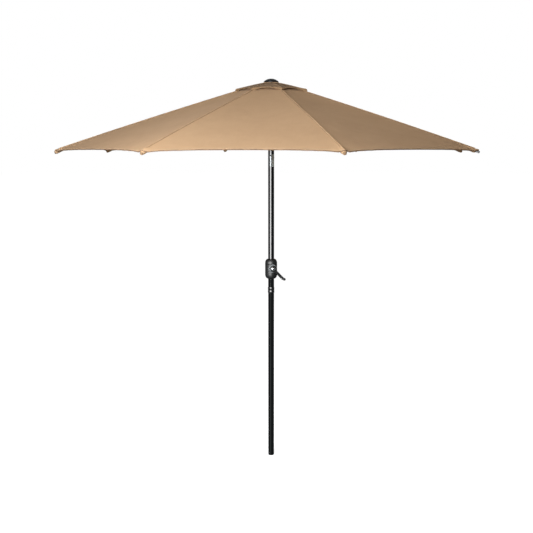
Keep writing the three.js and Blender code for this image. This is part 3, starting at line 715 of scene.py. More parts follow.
middle = (COLLAR_LOW + COLLAR_TOP) / 2
collar = lathe("two_band_collar", rounded([
    (0.0193, COLLAR_LOW, 0.0002), (0.0197, COLLAR_LOW, 0.0003),
    (0.0209, COLLAR_LOW + 0.0040, 0.003), (0.0210, COLLAR_LOW + 0.0095, 0.004),
    (0.0206, middle - 0.0022, 0.002), (0.0196, middle - 0.0008, 0.0006),
    (0.0196, middle + 0.0008, 0.0006), (0.0206, middle + 0.0022, 0.002),
    (0.0210, COLLAR_TOP - 0.0095, 0.004), (0.0209, COLLAR_TOP - 0.0040, 0.003),
    (0.0197, COLLAR_TOP, 0.0003), (POLE_BORE, COLLAR_TOP, 0.0003),
    (POLE_BORE, COLLAR_TOP - 0.0036, 0.0002), (0.0193, COLLAR_TOP - 0.0036, 0.0002)],
    closed=True), gloss_plastic, closed=True)
on_body(collar, "lower_pole", "black_plastic", "pole_collar")
print("lower pole", [len(p.data.polygons) for p in (lower_pole, end_plug, collar)])

# %% Mast tube
MAST_LOW = COLLAR_TOP
MAST_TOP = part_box("mast_tube")[1][2]
CRANK_Z = (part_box("crank_bezel")[0][2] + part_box("crank_bezel")[1][2]) / 2
SHAFT_BORE = 0.0043
mast = lathe("mast", rounded([
    (0.0157, MAST_LOW - 0.12, 0.0004), (0.0172, MAST_LOW - 0.12, 0.0006),
    (0.0172, MAST_LOW + 0.0003, 0.0002), (POLE_RADIUS, MAST_LOW + 0.0003, 0.0007),
    (POLE_RADIUS, MAST_TOP, 0.0004), (POLE_BORE, MAST_TOP, 0.0003),
    (POLE_BORE, MAST_LOW + 0.0083, 0.0), (0.0157, MAST_LOW + 0.0043, 0.0)], closed=True),
    pole_paint, closed=True)
window = plug("window", 0.013, 0, 0.024, pole_paint, 40, facing_front(CRANK_Z))
bearing = plug("bearing", SHAFT_BORE, -0.024, 0, pole_paint, 32, facing_front(CRANK_Z))
carve(mast, ("DIFFERENCE", window), ("DIFFERENCE", bearing))
on_body(mast, "mast", "black_metal", "mast_tube")
print("mast", len(mast.data.polygons))

# %% [markdown]
# ## The tilt joint
# Two half-round cheeks lap on the pole's centre plane and turn on a cross pin. The yoke's half is dark
# cast metal and the block's half is pale, and the block carries the push button. The cheeks are
# the overlap of a pole-sized cylinder and a rounded plate, so that is how they are made: a plate outline,
# a Boolean with the cylinder, and a fine bevel to catch the light.

# %% Cheeks
TILT_LOW = MAST_TOP + 0.0003
TILT_TOP = TILT_LOW + 0.076
TILT_Z = (TILT_LOW + TILT_TOP) / 2
CHEEK_REACH = 0.0337
CHEEK_STEPS = 24
PIN_BORE = 0.0053
CORD_WAY = 0.003
BUTTON_BORE = 0.0073


def cheek_outline(sign):
    """The plate's outline in (y, height from the tilt axis), with its root on one side."""
    start = math.asin(POLE_RADIUS / CHEEK_REACH)
    arc = []
    for step in range(CHEEK_STEPS + 1):
        angle = start - 2 * start * step / CHEEK_STEPS
        arc.append((CHEEK_REACH * math.sin(angle), sign * CHEEK_REACH * math.cos(angle)))
    foot = -sign * (TILT_TOP - TILT_Z - 0.0001)
    return [(-POLE_RADIUS, foot), (POLE_RADIUS, foot), *arc]


def tilt_half(name, sign, side, material):
    """One half of the joint: sign is +1 for the yoke below and -1 for the block above."""
    stand = Matrix(((0, 0, 1, 0), (1, 0, 0, 0), (0, 1, 0, TILT_Z), (0, 0, 0, 1)))
    near, far = sorted((side * 0.00015, side * 0.0215))
    plate = slab(name, cheek_outline(sign), near, far, material, stand)
    base, shank = TILT_Z - sign * 0.038, TILT_Z - sign * 0.078
    shoulder = base + sign * 0.004
    core = plug("core", POLE_RADIUS, TILT_LOW - 0.001, TILT_TOP + 0.001, material)
    stub = lathe("stub", rounded([(0, shank, 0), (0.0172, shank, 0.001), (0.0172, base, 0.0001),
                                  (POLE_RADIUS, base, 0.0003), (POLE_RADIUS, shoulder, 0.0003),
                                  (0, shoulder, 0)]), material)
    pin_hole = rod_x(PIN_BORE, -0.03, 0.03, 0, TILT_Z)
    way = plug("way", CORD_WAY, TILT_LOW - 0.05, TILT_TOP + 0.05, material, 32,
               Matrix.Translation((0, 0.011, 0)))
    carve(plate, ("INTERSECT", core), ("UNION", stub), ("DIFFERENCE", pin_hole),
          ("DIFFERENCE", way))
    return plate


def two_tone(piece, other, side):
    """Gives the far side of a half's shoulder the finish of the other half."""
    second_finish(piece, other, lambda face: side * face.center.x < -0.0008)


tilt_yoke = softened(tilt_half("tilt_yoke_cheek", 1, -1, satin_metal), 0.0005)
two_tone(tilt_yoke, pale_metal, -1)
on_body(tilt_yoke, "mast", "silver_joint", "tilt_yoke")

BUTTON_Z = TILT_Z + 0.019
tilt_block = tilt_half("tilt_block_cheek", -1, 1, pale_metal)
carve(tilt_block, ("DIFFERENCE", rod_x(BUTTON_BORE, 0.007, 0.03, 0, BUTTON_Z)))
softened(tilt_block, 0.0005)
two_tone(tilt_block, satin_metal, 1)
on_body(tilt_block, "upper_pole", "silver_joint", "tilt_block")

along_x = Matrix.Rotation(math.pi / 2, 4, "Y")
tilt_pin = lathe("tilt_pin_head", rounded([
    (0, -0.018, 0), (0.005, -0.018, 0.0008), (0.005, 0.016, 0.0008), (0, 0.016, 0)]), bright_steel,
    segments=48, place=Matrix.Translation((0, 0, TILT_Z)) @ along_x)
on_body(tilt_pin, "mast", "steel", "tilt_pin")

push_button = lathe("push_button", rounded([
    (0, 0.0104, 0), (0.007, 0.0104, 0.0005), (0.007, 0.0183, 0.0012), (0.0045, 0.0197, 0.002),
    (0, 0.0199, 0)]), black_plastic, segments=48,
    place=Matrix.Translation((0, 0, BUTTON_Z)) @ along_x)
on_body(push_button, "button", "black_plastic", "tilt_button")
print("tilt joint", [len(p.data.polygons) for p in (tilt_yoke, tilt_block)])

# %% Upper pole tube
UPPER_LOW, UPPER_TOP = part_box("upper_pole_tube")[0][2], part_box("upper_pole_tube")[1][2]
PULLEY_Z = 2.372
upper_pole = lathe("upper_pole_tube_fine", rounded([
    (POLE_BORE, UPPER_LOW, 0.0003), (POLE_RADIUS, UPPER_LOW, 0.0005),
    (POLE_RADIUS, UPPER_TOP, 0.0003), (POLE_BORE, UPPER_TOP, 0.0003)], closed=True), pole_paint,
    closed=True)
SLOT_HALF = 0.0042
slot_outline = [(-SLOT_HALF, PULLEY_Z - 0.017), (SLOT_HALF, PULLEY_Z - 0.017),
                (SLOT_HALF, PULLEY_Z + 0.015), (-SLOT_HALF, PULLEY_Z + 0.015)]
pulley_slot = slab("pulley_slot", slot_outline, -0.03, -0.006, pole_paint,
                   Matrix.Rotation(math.pi / 2, 4, "X"))
carve(upper_pole, ("DIFFERENCE", pulley_slot),
      ("DIFFERENCE", rod_x(0.0028, -0.03, 0.03, 0.007, PULLEY_Z)))
on_body(upper_pole, "upper_pole", "black_metal", "upper_pole_tube")
print("upper pole", UPPER_LOW, UPPER_TOP)

# %% [markdown]
# ## The crank
# The crank turns a spool inside a capsule-shaped housing moulded in two halves, with a ring where the
# arm's hub turns; the ring's pale grey is a painted highlight. The arm is a channel with raised rims, a
# chromed cap on its hub, and a free spinning grip at its end. The housing and grip are turned profiles.
# The arm is a link bar whose profile climbs a rim and then drops into a shallow pocket.

# %% Housing and ring
HOUSING_RADIUS = 0.0385
HOUSING_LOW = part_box("crank_housing_lower")[0][2]
HOUSING_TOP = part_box("crank_housing_upper")[1][2]
SEAM_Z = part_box("crank_housing_lower")[1][2]
SHOULDER = 0.027
HOUSING_BORE = 0.0193
HOUSING_INNER = 0.0355


def shell_arc(sign, end, steps=14):
    """The rounded shoulder of the capsule, from its side to its neck."""
    middle_z = end - sign * SHOULDER
    waist = POLE_RADIUS + 0.0015
    points = []
    for step in range(steps + 1):
        angle = (math.pi / 2) * step / steps
        points.append((waist + (HOUSING_RADIUS - waist) * math.cos(angle),
                       middle_z + sign * SHOULDER * math.sin(angle)))
    return points


low_arc = shell_arc(-1, HOUSING_LOW)[::-1]
housing_low = lathe("housing_low", [
    (HOUSING_BORE, HOUSING_LOW), *low_arc, (HOUSING_RADIUS, SEAM_Z - 0.0012),
    (HOUSING_RADIUS - 0.0004, SEAM_Z - 0.0003), (HOUSING_RADIUS - 0.0011, SEAM_Z),
    (HOUSING_INNER, SEAM_Z), (HOUSING_INNER, HOUSING_LOW + 0.025), (0.0253, HOUSING_LOW + 0.0189),
    (HOUSING_BORE, HOUSING_LOW + 0.0189)], black_plastic, closed=True, segments=128)
shaft_hole = plug("shaft_hole", SHAFT_BORE, 0.02, 0.05, black_plastic, 32, facing_front(CRANK_Z))
carve(housing_low, ("DIFFERENCE", shaft_hole))
on_body(housing_low, "mast", "black_plastic", "crank_housing_lower")

high_arc = shell_arc(1, HOUSING_TOP)
housing_high = lathe("housing_high", [
    (HOUSING_RADIUS - 0.0011, SEAM_Z + 0.001), (HOUSING_RADIUS - 0.0004, SEAM_Z + 0.0013),
    (HOUSING_RADIUS, SEAM_Z + 0.0022), *high_arc, (HOUSING_BORE, HOUSING_TOP),
    (HOUSING_BORE, HOUSING_TOP - 0.0189), (0.0253, HOUSING_TOP - 0.0189),
    (HOUSING_INNER, HOUSING_TOP - 0.025), (HOUSING_INNER, SEAM_Z + 0.001)], black_plastic,
    closed=True, segments=128)
on_body(housing_high, "mast", "black_plastic", "crank_housing_upper")

ring_profile = rounded([
    (0, 0.0200, 0), (0.027, 0.0200, 0.0002), (0.027, 0.0398, 0.0014), (0.0245, 0.0428, 0.0012),
    (0.0228, 0.0430, 0.0008), (0.0222, 0.0414, 0.0004), (0.0046, 0.0414, 0.0002),
    (0.0046, 0.0300, 0.0), (0, 0.0300, 0)])
# Painted highlight: the ring is pale grey where its rim catches the light.
ring = lathe("crank_ring", ring_profile, grey_plastic, segments=96, place=facing_front(CRANK_Z))
body_cut = plug("body_cut", 0.0388, CRANK_Z - 0.03, CRANK_Z + 0.03, grey_plastic, 128)
carve(ring, ("DIFFERENCE", body_cut))
on_body(ring, "mast", "grey_plastic", "crank_bezel")
print("housing", len(housing_low.data.polygons), "ring", len(ring.data.polygons))

# %% Housing screws
for label in ("low", "high"):
    node = f"housing_screw_{label}"
    height = (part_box(node)[0][2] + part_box(node)[1][2]) / 2
    back = Matrix.Translation((0, 0, height)) @ Matrix.Rotation(-math.pi / 2, 4, "X")
    head = lathe(f"pan_head_{label}", rounded([
        (0, 0.0388, 0), (0.0035, 0.0388, 0.0002), (0.0035, 0.0397, 0.0006), (0.0022, 0.0408, 0.001),
        (0, 0.0410, 0)]), bright_steel, segments=40, place=back)
    for turn in (0, math.pi / 2):
        spin = back @ Matrix.Rotation(turn, 4, "Z")
        blade = slab("blade", [(-0.0021, -0.0003), (0.0021, -0.0003), (0.0021, 0.0003),
                               (-0.0021, 0.0003)], 0.0402, 0.043, bright_steel, spin)
        carve(head, ("DIFFERENCE", blade))
    on_body(head, "mast", "steel", node)

shaft = fine_copy("spool_and_shaft", "crank_shaft", bright_steel, 0.0002)
on_body(shaft, "crank", "steel", "crank_shaft")

# %% Arm, cap and grip
ARM_BACK, ARM_FRONT = 0.0433, 0.0538
grip_low, grip_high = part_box("crank_knob")
ARM_END = Vector(((grip_low[0] + grip_high[0]) / 2, (grip_low[2] + grip_high[2]) / 2 - CRANK_Z))
grip_place = facing_front(CRANK_Z) @ Matrix.Translation((*ARM_END, 0))
bar_profile = rounded([
    (0.0072, ARM_BACK + 0.0015, 0.0), (0.0082, ARM_BACK + 0.0017, 0.0006), (0.0090, 0.0500, 0.001),
    (0.0088, ARM_FRONT, 0.0007), (0.0068, ARM_FRONT, 0.0006), (0.0060, ARM_FRONT - 0.0022, 0.0006),
    (0.0022, ARM_FRONT - 0.0022, 0.0005), (0.0014, ARM_FRONT - 0.0010, 0.0005),
    (0.0004, ARM_FRONT - 0.0009, 0)])
crank_arm = link_bar("crank_arm_channel", bar_profile, (0.0, 0.0), ARM_END, black_plastic,
                     facing_front(CRANK_Z), arc=20)
hub = lathe("hub", rounded([
    (0, ARM_BACK, 0), (0.0205, ARM_BACK, 0.0008), (0.0210, ARM_BACK + 0.003, 0.002),
    (0.0202, ARM_FRONT - 0.0020, 0.002), (0.0150, ARM_FRONT - 0.0003, 0.002),
    (0.0122, ARM_FRONT, 0.0006), (0.0116, ARM_FRONT - 0.0012, 0.0004),
    (0, ARM_FRONT - 0.0012, 0)]), black_plastic, segments=96, place=facing_front(CRANK_Z))
socket = plug("socket", SHAFT_BORE, 0.04, 0.0508, black_plastic, 32, facing_front(CRANK_Z))
grip_hole = plug("grip_hole", 0.0033, 0.0465, 0.06, black_plastic, 32, grip_place)
carve(crank_arm, ("UNION", hub), ("DIFFERENCE", socket), ("DIFFERENCE", grip_hole))
on_body(crank_arm, "crank", "black_plastic", "crank_arm")

cap = lathe("chrome_cap", rounded([
    (0, 0.0541, 0), (0.0108, 0.0541, 0.0003), (0.0110, 0.0551, 0.0006), (0.0096, 0.0562, 0.0008),
    (0.0088, 0.0561, 0.0005), (0.0064, 0.0575, 0.002), (0, 0.0581, 0)], steps=6), bright_steel,
    segments=72, place=facing_front(CRANK_Z))
on_body(cap, "crank", "steel", "crank_cap")

grip = lathe("spinning_grip", rounded([
    (0, 0.0491, 0), (0.003, 0.0491, 0.0002), (0.003, 0.0544, 0.0001), (0.0070, 0.0544, 0.0003),
    (0.0070, 0.0572, 0.0002), (0.0082, 0.0574, 0.0005), (0.0078, 0.0660, 0.010),
    (0.0082, 0.0800, 0.020), (0.0089, 0.0900, 0.010), (0.0084, 0.0955, 0.004),
    (0.0062, 0.0986, 0.003), (0, 0.0991, 0)], steps=6), gloss_plastic, segments=72,
    place=grip_place)
on_body(grip, "knob", "black_plastic", "crank_knob")
grip_ring = lathe("grip_ring", rounded([
    (0.0071, 0.0543, 0.0002), (0.0088, 0.0543, 0.0006), (0.0088, 0.0571, 0.0006),
    (0.0071, 0.0571, 0.0002)], closed=True), bright_steel, closed=True, segments=72,
    place=grip_place)
on_body(grip_ring, "knob", "steel")
print("crank arm", len(crank_arm.data.polygons))

# %% [markdown]
# ## Hub, pulley and runner
# These moulded rings hold the ribs and struts in eight slots each. Their shape is already right in the
# solid model, but its facets would show. A copy is welded, its flat faces are merged, and a narrow bevel
# runs round every slot. The finial is turned afresh, because its dome shows against the sky.

# %% Hub, pulley, runner
for label, node, material, edge, body, slot in (
    ("hub_fine", "top_hub", black_plastic, 0.0004, "upper_pole", "black_plastic"),
    ("pulley_fine", "top_pulley", black_plastic, 0.0003, "pulley", "black_plastic"),
    ("pulley_pin_fine", "pulley_pin", bright_steel, 0.0003, "upper_pole", "steel"),
    ("runner_fine", "runner_sleeve", black_plastic, 0.0005, "runner", "black_plastic"),
    ("runner_cap_fine", "runner_collar", gloss_plastic, 0.0004, "runner", "black_plastic"),
):
    on_body(fine_copy(label, node, material, edge), body, slot, node)

FINIAL_STEM = 2.398
FINIAL_LOW = 2.4155
FINIAL_TOP = 2.438
finial = lathe("finial_dome", rounded([
    (0, FINIAL_STEM, 0), (0.005, FINIAL_STEM, 0.0006), (0.005, FINIAL_LOW, 0.0002),
    (0.0445, FINIAL_LOW, 0.001), (0.0475, FINIAL_LOW + 0.0018, 0.0014),
    (0.0462, FINIAL_LOW + 0.0052, 0.003), (0.0385, FINIAL_LOW + 0.0112, 0.012),
    (0.0260, FINIAL_LOW + 0.0180, 0.02), (0.0120, FINIAL_LOW + 0.0218, 0.03),
    (0, FINIAL_TOP, 0)], steps=8), gloss_plastic, segments=128)
on_body(finial, "upper_pole", "black_plastic", "finial")
print("hub and finial made")

# %% [markdown]
# ## Ribs and struts
# Each rib is a rectangular steel tube with rolled corners that follows the slope of the cloth, bent a
# little more toward its tip. That is a profile on a path, so Geometry Nodes make it: a curve through the
# rib's stations, a rounded rectangle swept along it, and capped ends. The node tree is built once with
# its sizes as inputs and used for all eight. Rivets come from a second tree that puts one dome on each
# marked point and turns it along the point's own axis.

# %% Sizes shared by ribs and cloth
RIB_COUNT = 8
RIBS = range(1, RIB_COUNT + 1)
RIB_STEP = 2 * math.pi / RIB_COUNT
PIVOT_RADIUS = 0.036
PIVOT_Z = 2.402
FABRIC_RISE = 0.0132
RIB_SLOPE = 0.3037
RIB_BEND = 0.014
RIB_DEPTH = 0.0044
RIB_HEIGHT = 0.016
RIB_START = 0.078
CANOPY_RADIUS = 1.333
STRUT_STATION = 0.551


def rib_angle(k):
    return -math.pi / 2 + (k - 1) * RIB_STEP


def spoke(k):
    """Turns a piece made along +X to lie along rib k."""
    return Matrix.Rotation(rib_angle(k), 4, "Z")


def cloth_line(r):
    """Height of the cloth over a rib at distance r from the pole's axis."""
    out = r - PIVOT_RADIUS
    return PIVOT_Z + FABRIC_RISE - RIB_SLOPE * out - RIB_BEND * out * out


def cloth_fall(r):
    """The angle by which the cloth line falls outward."""
    return math.atan(RIB_SLOPE + 2 * RIB_BEND * (r - PIVOT_RADIUS))


def under_cloth(r, depth):
    """A point of the rib's plane, square below the cloth line by a depth: (distance, height)."""
    fall = cloth_fall(r)
    return Vector((r - depth * math.sin(fall), cloth_line(r) - depth * math.cos(fall)))


def stations(first, last, steps):
    return [first + (last - first) * i / steps for i in range(steps + 1)]


RIB_HEART = RIB_DEPTH + RIB_HEIGHT / 2
RIB_END = CANOPY_RADIUS - 0.013
STRUT_DEPTH = RIB_DEPTH + RIB_HEIGHT + 0.0085
strut_pivot = under_cloth(STRUT_STATION, STRUT_DEPTH)
runner_z = 2 * strut_pivot.y - PIVOT_Z
print("strut pivot", tuple(strut_pivot), "runner", runner_z)


# %% Geometry Nodes helpers
def geometry_tree(name, inputs):
    tree = bpy.data.node_groups.new(name, "GeometryNodeTree")
    tree.interface.new_socket("Geometry", in_out="INPUT", socket_type="NodeSocketGeometry")
    for label, kind, value in inputs:
        socket = tree.interface.new_socket(label, in_out="INPUT", socket_type=kind)
        if value is not None:
            socket.default_value = value
    tree.interface.new_socket("Geometry", in_out="OUTPUT", socket_type="NodeSocketGeometry")
    return tree, tree.nodes.new("NodeGroupInput"), tree.nodes.new("NodeGroupOutput")


def grown(name, mesh, tree, values, sharp=35.0):
    """Runs a node tree on a mesh of points or lines, and keeps only the plain mesh it makes."""
    seed = add_object(name, mesh)
    step = seed.modifiers.new("grow", "NODES")
    step.node_group = tree
    for item in tree.interface.items_tree:
        if item.item_type == "SOCKET" and item.in_out == "INPUT" and item.name in values:
            step[item.identifier] = values[item.name]
    bpy.context.view_layer.update()
    made = evaluated(seed)
    bpy.data.objects.remove(seed)
    made.name = name
    shade_smooth(made, sharp)
    return add_object(name, made)


def polyline(name, *paths):
    mesh = bpy.data.meshes.new(name)
    verts, edges = [], []
    for path in paths:
        start = len(verts)
        verts += [tuple(p) for p in path]
        edges += [(start + i, start + i + 1) for i in range(len(path) - 1)]
    mesh.from_pydata(verts, edges, [])
    return mesh


def painted_end(tree, made, enter, leave):
    """The last nodes of each tree: real geometry, given its finish and sent out."""
    join = tree.nodes.new("GeometryNodeRealizeInstances")
    paint = tree.nodes.new("GeometryNodeSetMaterial")
    tree.links.new(made, join.inputs["Geometry"])
    tree.links.new(join.outputs["Geometry"], paint.inputs["Geometry"])
    tree.links.new(enter.outputs["Finish"], paint.inputs["Material"])
    tree.links.new(paint.outputs["Geometry"], leave.inputs["Geometry"])


# %% Tube tree
def build_tube_tree():
    tree, enter, leave = geometry_tree("rolled_tube", [
        ("Width", "NodeSocketFloat", 0.01), ("Height", "NodeSocketFloat", 0.016),
        ("Corner", "NodeSocketFloat", 0.002), ("Finish", "NodeSocketMaterial", None)])
    link = tree.links.new
    line = tree.nodes.new("GeometryNodeMeshToCurve")
    upright = tree.nodes.new("GeometryNodeSetCurveNormal")
    upright.mode = "Z_UP"
    shape = tree.nodes.new("GeometryNodeCurvePrimitiveQuadrilateral")
    corner = tree.nodes.new("GeometryNodeFilletCurve")
    corner.mode = "POLY"
    corner.inputs["Count"].default_value = 4
    sweep = tree.nodes.new("GeometryNodeCurveToMesh")
    sweep.inputs["Fill Caps"].default_value = True
    link(enter.outputs["Geometry"], line.inputs["Mesh"])
    link(line.outputs["Curve"], upright.inputs["Curve"])
    link(enter.outputs["Height"], shape.inputs["Width"])
    link(enter.outputs["Width"], shape.inputs["Height"])
    link(shape.outputs["Curve"], corner.inputs["Curve"])
    link(enter.outputs["Corner"], corner.inputs["Radius"])
    link(upright.outputs["Curve"], sweep.inputs["Curve"])
    link(corner.outputs["Curve"], sweep.inputs["Profile Curve"])
    painted_end(tree, sweep.outputs["Mesh"], enter, leave)
    return tree


rolled_tube = build_tube_tree()


# %% Rivet tree
def build_rivet_tree():
    tree, enter, leave = geometry_tree("dome_rivets", [
        ("Radius", "NodeSocketFloat", 0.003), ("Proud", "NodeSocketFloat", 0.0016),
        ("Finish", "NodeSocketMaterial", None)])
    link = tree.links.new
    ball = tree.nodes.new("GeometryNodeMeshUVSphere")
    ball.inputs["Segments"].default_value = 16
    ball.inputs["Rings"].default_value = 8
    ball.inputs["Radius"].default_value = 1.0
    aim = tree.nodes.new("GeometryNodeInputNamedAttribute")
    aim.data_type = "FLOAT_VECTOR"
    aim.inputs["Name"].default_value = "aim"
    turn = tree.nodes.new("FunctionNodeAlignRotationToVector")
    turn.axis = "Z"
    size = tree.nodes.new("ShaderNodeCombineXYZ")
    spread = tree.nodes.new("GeometryNodeInstanceOnPoints")
    link(aim.outputs["Attribute"], turn.inputs["Vector"])
    link(enter.outputs["Radius"], size.inputs["X"])
    link(enter.outputs["Radius"], size.inputs["Y"])
    link(enter.outputs["Proud"], size.inputs["Z"])
    link(enter.outputs["Geometry"], spread.inputs["Points"])
    link(ball.outputs["Mesh"], spread.inputs["Instance"])
    link(turn.outputs["Rotation"], spread.inputs["Rotation"])
    link(size.outputs["Vector"], spread.inputs["Scale"])
    painted_end(tree, spread.outputs["Instances"], enter, leave)
    return tree


dome_rivets = build_rivet_tree()


def rivets(name, points, radius, proud, material):
    """Points are (place, axis) pairs."""
    mesh = bpy.data.meshes.new(name)
    mesh.from_pydata([tuple(p) for p, _ in points], [], [])
    aim = mesh.attributes.new("aim", "FLOAT_VECTOR", "POINT")
    aim.data.foreach_set("vector", [c for _, axis in points for c in axis])
    return grown(name, mesh, dome_rivets, {"Radius": radius, "Proud": proud, "Finish": material})


# %% Build the ribs
upright_plane = Matrix.Rotation(math.pi / 2, 4, "X")


def joined(name, *pieces):
    """Joins finished meshes into the first one without moving them."""
    work = bmesh.new()
    for piece in pieces:
        work.from_mesh(piece.data)
    mesh = pieces[0].data.copy()
    work.to_mesh(mesh)
    work.free()
    mesh.set_sharp_from_angle(angle=math.radians(35))
    for piece in pieces:
        bpy.data.objects.remove(piece)
    return add_object(name, mesh)


def flat_link(name, first, last, reach, width, material, k):
    """A plate with round ends and soft rims in rib k's plane."""
    half = width / 2
    profile = rounded([(reach - 0.0012, -half, 0), (reach, -half, 0.0006), (reach, half, 0.0006),
                       (reach - 0.0012, half, 0)], steps=3)
    return link_bar(name, profile, first, last, material, spoke(k) @ upright_plane, arc=12)


def build_rib(k):
    path = [under_cloth(r, RIB_HEART) for r in stations(RIB_START, RIB_END, 28)]
    turn = spoke(k)
    line = polyline(f"rib_tube_{k}", [turn @ Vector((p.x, 0, p.y)) for p in path])
    tube = grown(f"rib_tube_{k}", line, rolled_tube,
                 {"Width": 0.010, "Height": RIB_HEIGHT, "Corner": 0.0026, "Finish": rib_paint})
    heart = under_cloth(RIB_START + 0.022, RIB_HEART)
    blade = flat_link("blade", (PIVOT_RADIUS, PIVOT_Z), heart, 0.0065, 0.0066, rib_paint, k)
    plates = [tube, blade]
    for side in (-1, 1):
        shift = Matrix.Translation((0, side * 0.0058, 0))
        ends = [under_cloth(STRUT_STATION + out, RIB_HEART) for out in (0.014, -0.014)]
        strip = flat_link("strip", *ends, 0.0088, 0.0016, rib_paint, k)
        ear = flat_link("ear", under_cloth(STRUT_STATION, RIB_HEART), strut_pivot, 0.0065, 0.0016,
                        rib_paint, k)
        for part in (strip, ear):
            part.data.transform(spoke(k) @ shift @ spoke(k).inverted())
            plates.append(part)
    whole = joined(f"rib_fine_{k}", *plates)
    on_body(whole, f"rib_arm_{k}", "black_metal", f"rib_{k}")
    marks = []
    for side in (-1, 1):
        axis = turn @ Vector((0, side, 0))
        for x, z in (strut_pivot, under_cloth(STRUT_STATION - 0.016, RIB_HEART),
                     under_cloth(STRUT_STATION + 0.016, RIB_HEART)):
            marks.append((turn @ Vector((x, side * 0.0066, z)), axis))
    on_body(rivets(f"rib_rivets_{k}", marks, 0.0027, 0.0014, bright_steel), f"rib_arm_{k}", "steel")


def build_tip(k):
    """The moulded end cap that the cloth pocket slips over."""
    near = under_cloth(CANOPY_RADIUS - 0.0127, RIB_HEART)
    far = under_cloth(CANOPY_RADIUS - 0.0004, RIB_HEART)
    line = polyline(f"rib_end_{k}", [spoke(k) @ Vector((p.x, 0, p.y))
                                     for p in (near, (near + far) / 2, far)])
    end = grown(f"rib_end_{k}", line, rolled_tube,
                {"Width": 0.012, "Height": RIB_HEIGHT + 0.001, "Corner": 0.003,
                 "Finish": black_plastic})
    on_body(softened(end, 0.0012, 60.0), f"rib_arm_{k}", "black_plastic", f"rib_tip_{k}")


def build_strut(k):
    bar = flat_link(f"strut_fine_{k}", (PIVOT_RADIUS, runner_z), strut_pivot, 0.0065, 0.0070,
                    rib_paint, k)
    on_body(bar, f"strut_arm_{k}", "black_metal", f"strut_{k}")


for k in RIBS:
    build_rib(k)
    build_tip(k)
    build_strut(k)

# %% Pivot rivets of the hub and the runner
hub_marks, runner_marks = [], []
for k in RIBS:
    for side in (-1, 1):
        axis = spoke(k) @ Vector((0, side, 0))
        hub_marks.append((spoke(k) @ Vector((PIVOT_RADIUS, side * 0.0034, PIVOT_Z)), axis))
        runner_marks.append((spoke(k) @ Vector((PIVOT_RADIUS, side * 0.0041, runner_z)), axis))
on_body(rivets("hub_washers", hub_marks, 0.0042, 0.0009, bright_steel), "upper_pole", "steel")
on_body(rivets("runner_washers", runner_marks, 0.0040, 0.0007, bright_steel), "runner", "steel")
print("washers", len(hub_marks), len(runner_marks))

# %% [markdown]
# ## The cover
# The cover is eight triangular gores sewn over the ribs. Cloth in tension between straight ribs is a
# ruled surface with a slight hollow, its hem curves in between the tips, and it puckers where a
# pocket pulls at each tip. A cloth simulation could find that shape, but the tension is high and the
# shape is simple, so it is written as a function of the station along the rib and the share of the
# way to the middle of the gore. Every gore is built as two halves, each held by its own rib, because on
# the real umbrella the halves fold inward as pleats when the runner comes down. The two
# halves share the same function, so the line between them can't be seen.

# %% Cover surface
HALF_CHORD_IN = (1 - math.cos(RIB_STEP)) / 2
HALF_CHORD_OUT = math.sin(RIB_STEP) / 2
COVER_INNER = 0.120
COVER_OUTER = 1.326
CLOTH_THICK = 0.0008
HOLLOW = 0.009
HEM_CUT = 0.016
NOSE_DROOP, NOSE_REACH = 0.0095, 0.020
WIDE_DROOP, WIDE_REACH = 0.0075, 0.12
PUCKER = 0.0009
RIPPLE = 0.0006


def bulge(share):
    """Rises from 0 over a rib to 1 at the middle of the gore."""
    return 1 - (1 - share) ** 2


def over_plan(r, a, height):
    """A point at station r, whose distance shrinks toward the middle of the gore."""
    return Vector((r * (1 - abs(a) * HALF_CHORD_IN), a * r * HALF_CHORD_OUT, height))


def droop(r, share):
    """How far the cloth hangs beside a rib's end, where the pocket pulls it down."""
    reach = share * r * HALF_CHORD_OUT
    clear = 1 - math.exp(-(reach / 0.011) ** 2)
    near_edge = math.exp(-max(0.0, COVER_OUTER - r) / 0.055)
    hang = NOSE_DROOP * math.exp(-reach / NOSE_REACH) + WIDE_DROOP * math.exp(-reach / WIDE_REACH)
    return clear * near_edge * hang


def cover_point(r, a, lift=0.0):
    """A point of the cover in its rib's frame: r is the station, a runs from -1 to 1."""
    share = abs(a)
    along = (r - COVER_INNER) / (COVER_OUTER - COVER_INNER)
    bow = bulge(share)
    sag = HOLLOW * bow * math.sin(math.pi * min(max(along, 0), 1)) ** 0.8
    tip = math.exp(-((COVER_OUTER - r) ** 2 + (share * r * HALF_CHORD_OUT) ** 2) / 0.0085)
    fan = math.atan2(share * r * HALF_CHORD_OUT, COVER_OUTER + 0.03 - r)
    pucker = PUCKER * tip * math.sin(11.0 * fan) * min(1.0, 7 * share)
    pucker *= min(1.0, (COVER_OUTER - r) / 0.09)
    ripple = RIPPLE * bow * math.sin(5.5 * math.pi * share * share + 9.0 * along) * along
    height = cloth_line(r) - sag + pucker + ripple * (1 - share) - droop(r, share) + lift
    return over_plan(r, a, height)


def hem_station(a):
    """Where the cut edge runs: it curves in between two tips."""
    share = abs(a)
    return COVER_OUTER - HEM_CUT * (1 - (1 - share) ** 2.2)


def weave_place(r, a):
    """Cloth coordinates in metres, lined up with the middle of the gore."""
    half = RIB_STEP / 2
    x = r * (1 - abs(a) * HALF_CHORD_IN)
    y = abs(a) * r * HALF_CHORD_OUT
    down = x * math.cos(half) + y * math.sin(half)
    across = -x * math.sin(half) + y * math.cos(half)
    side = 1 if a >= 0 else -1
    return (down * 1.055, side * across)


def lay_cloth(mesh, spots):
    """Writes each corner's place on the cloth."""
    layer = mesh.uv_layers.new(name="cloth")
    for corner in mesh.loops:
        layer.data[corner.index].uv = spots[corner.vertex_index]


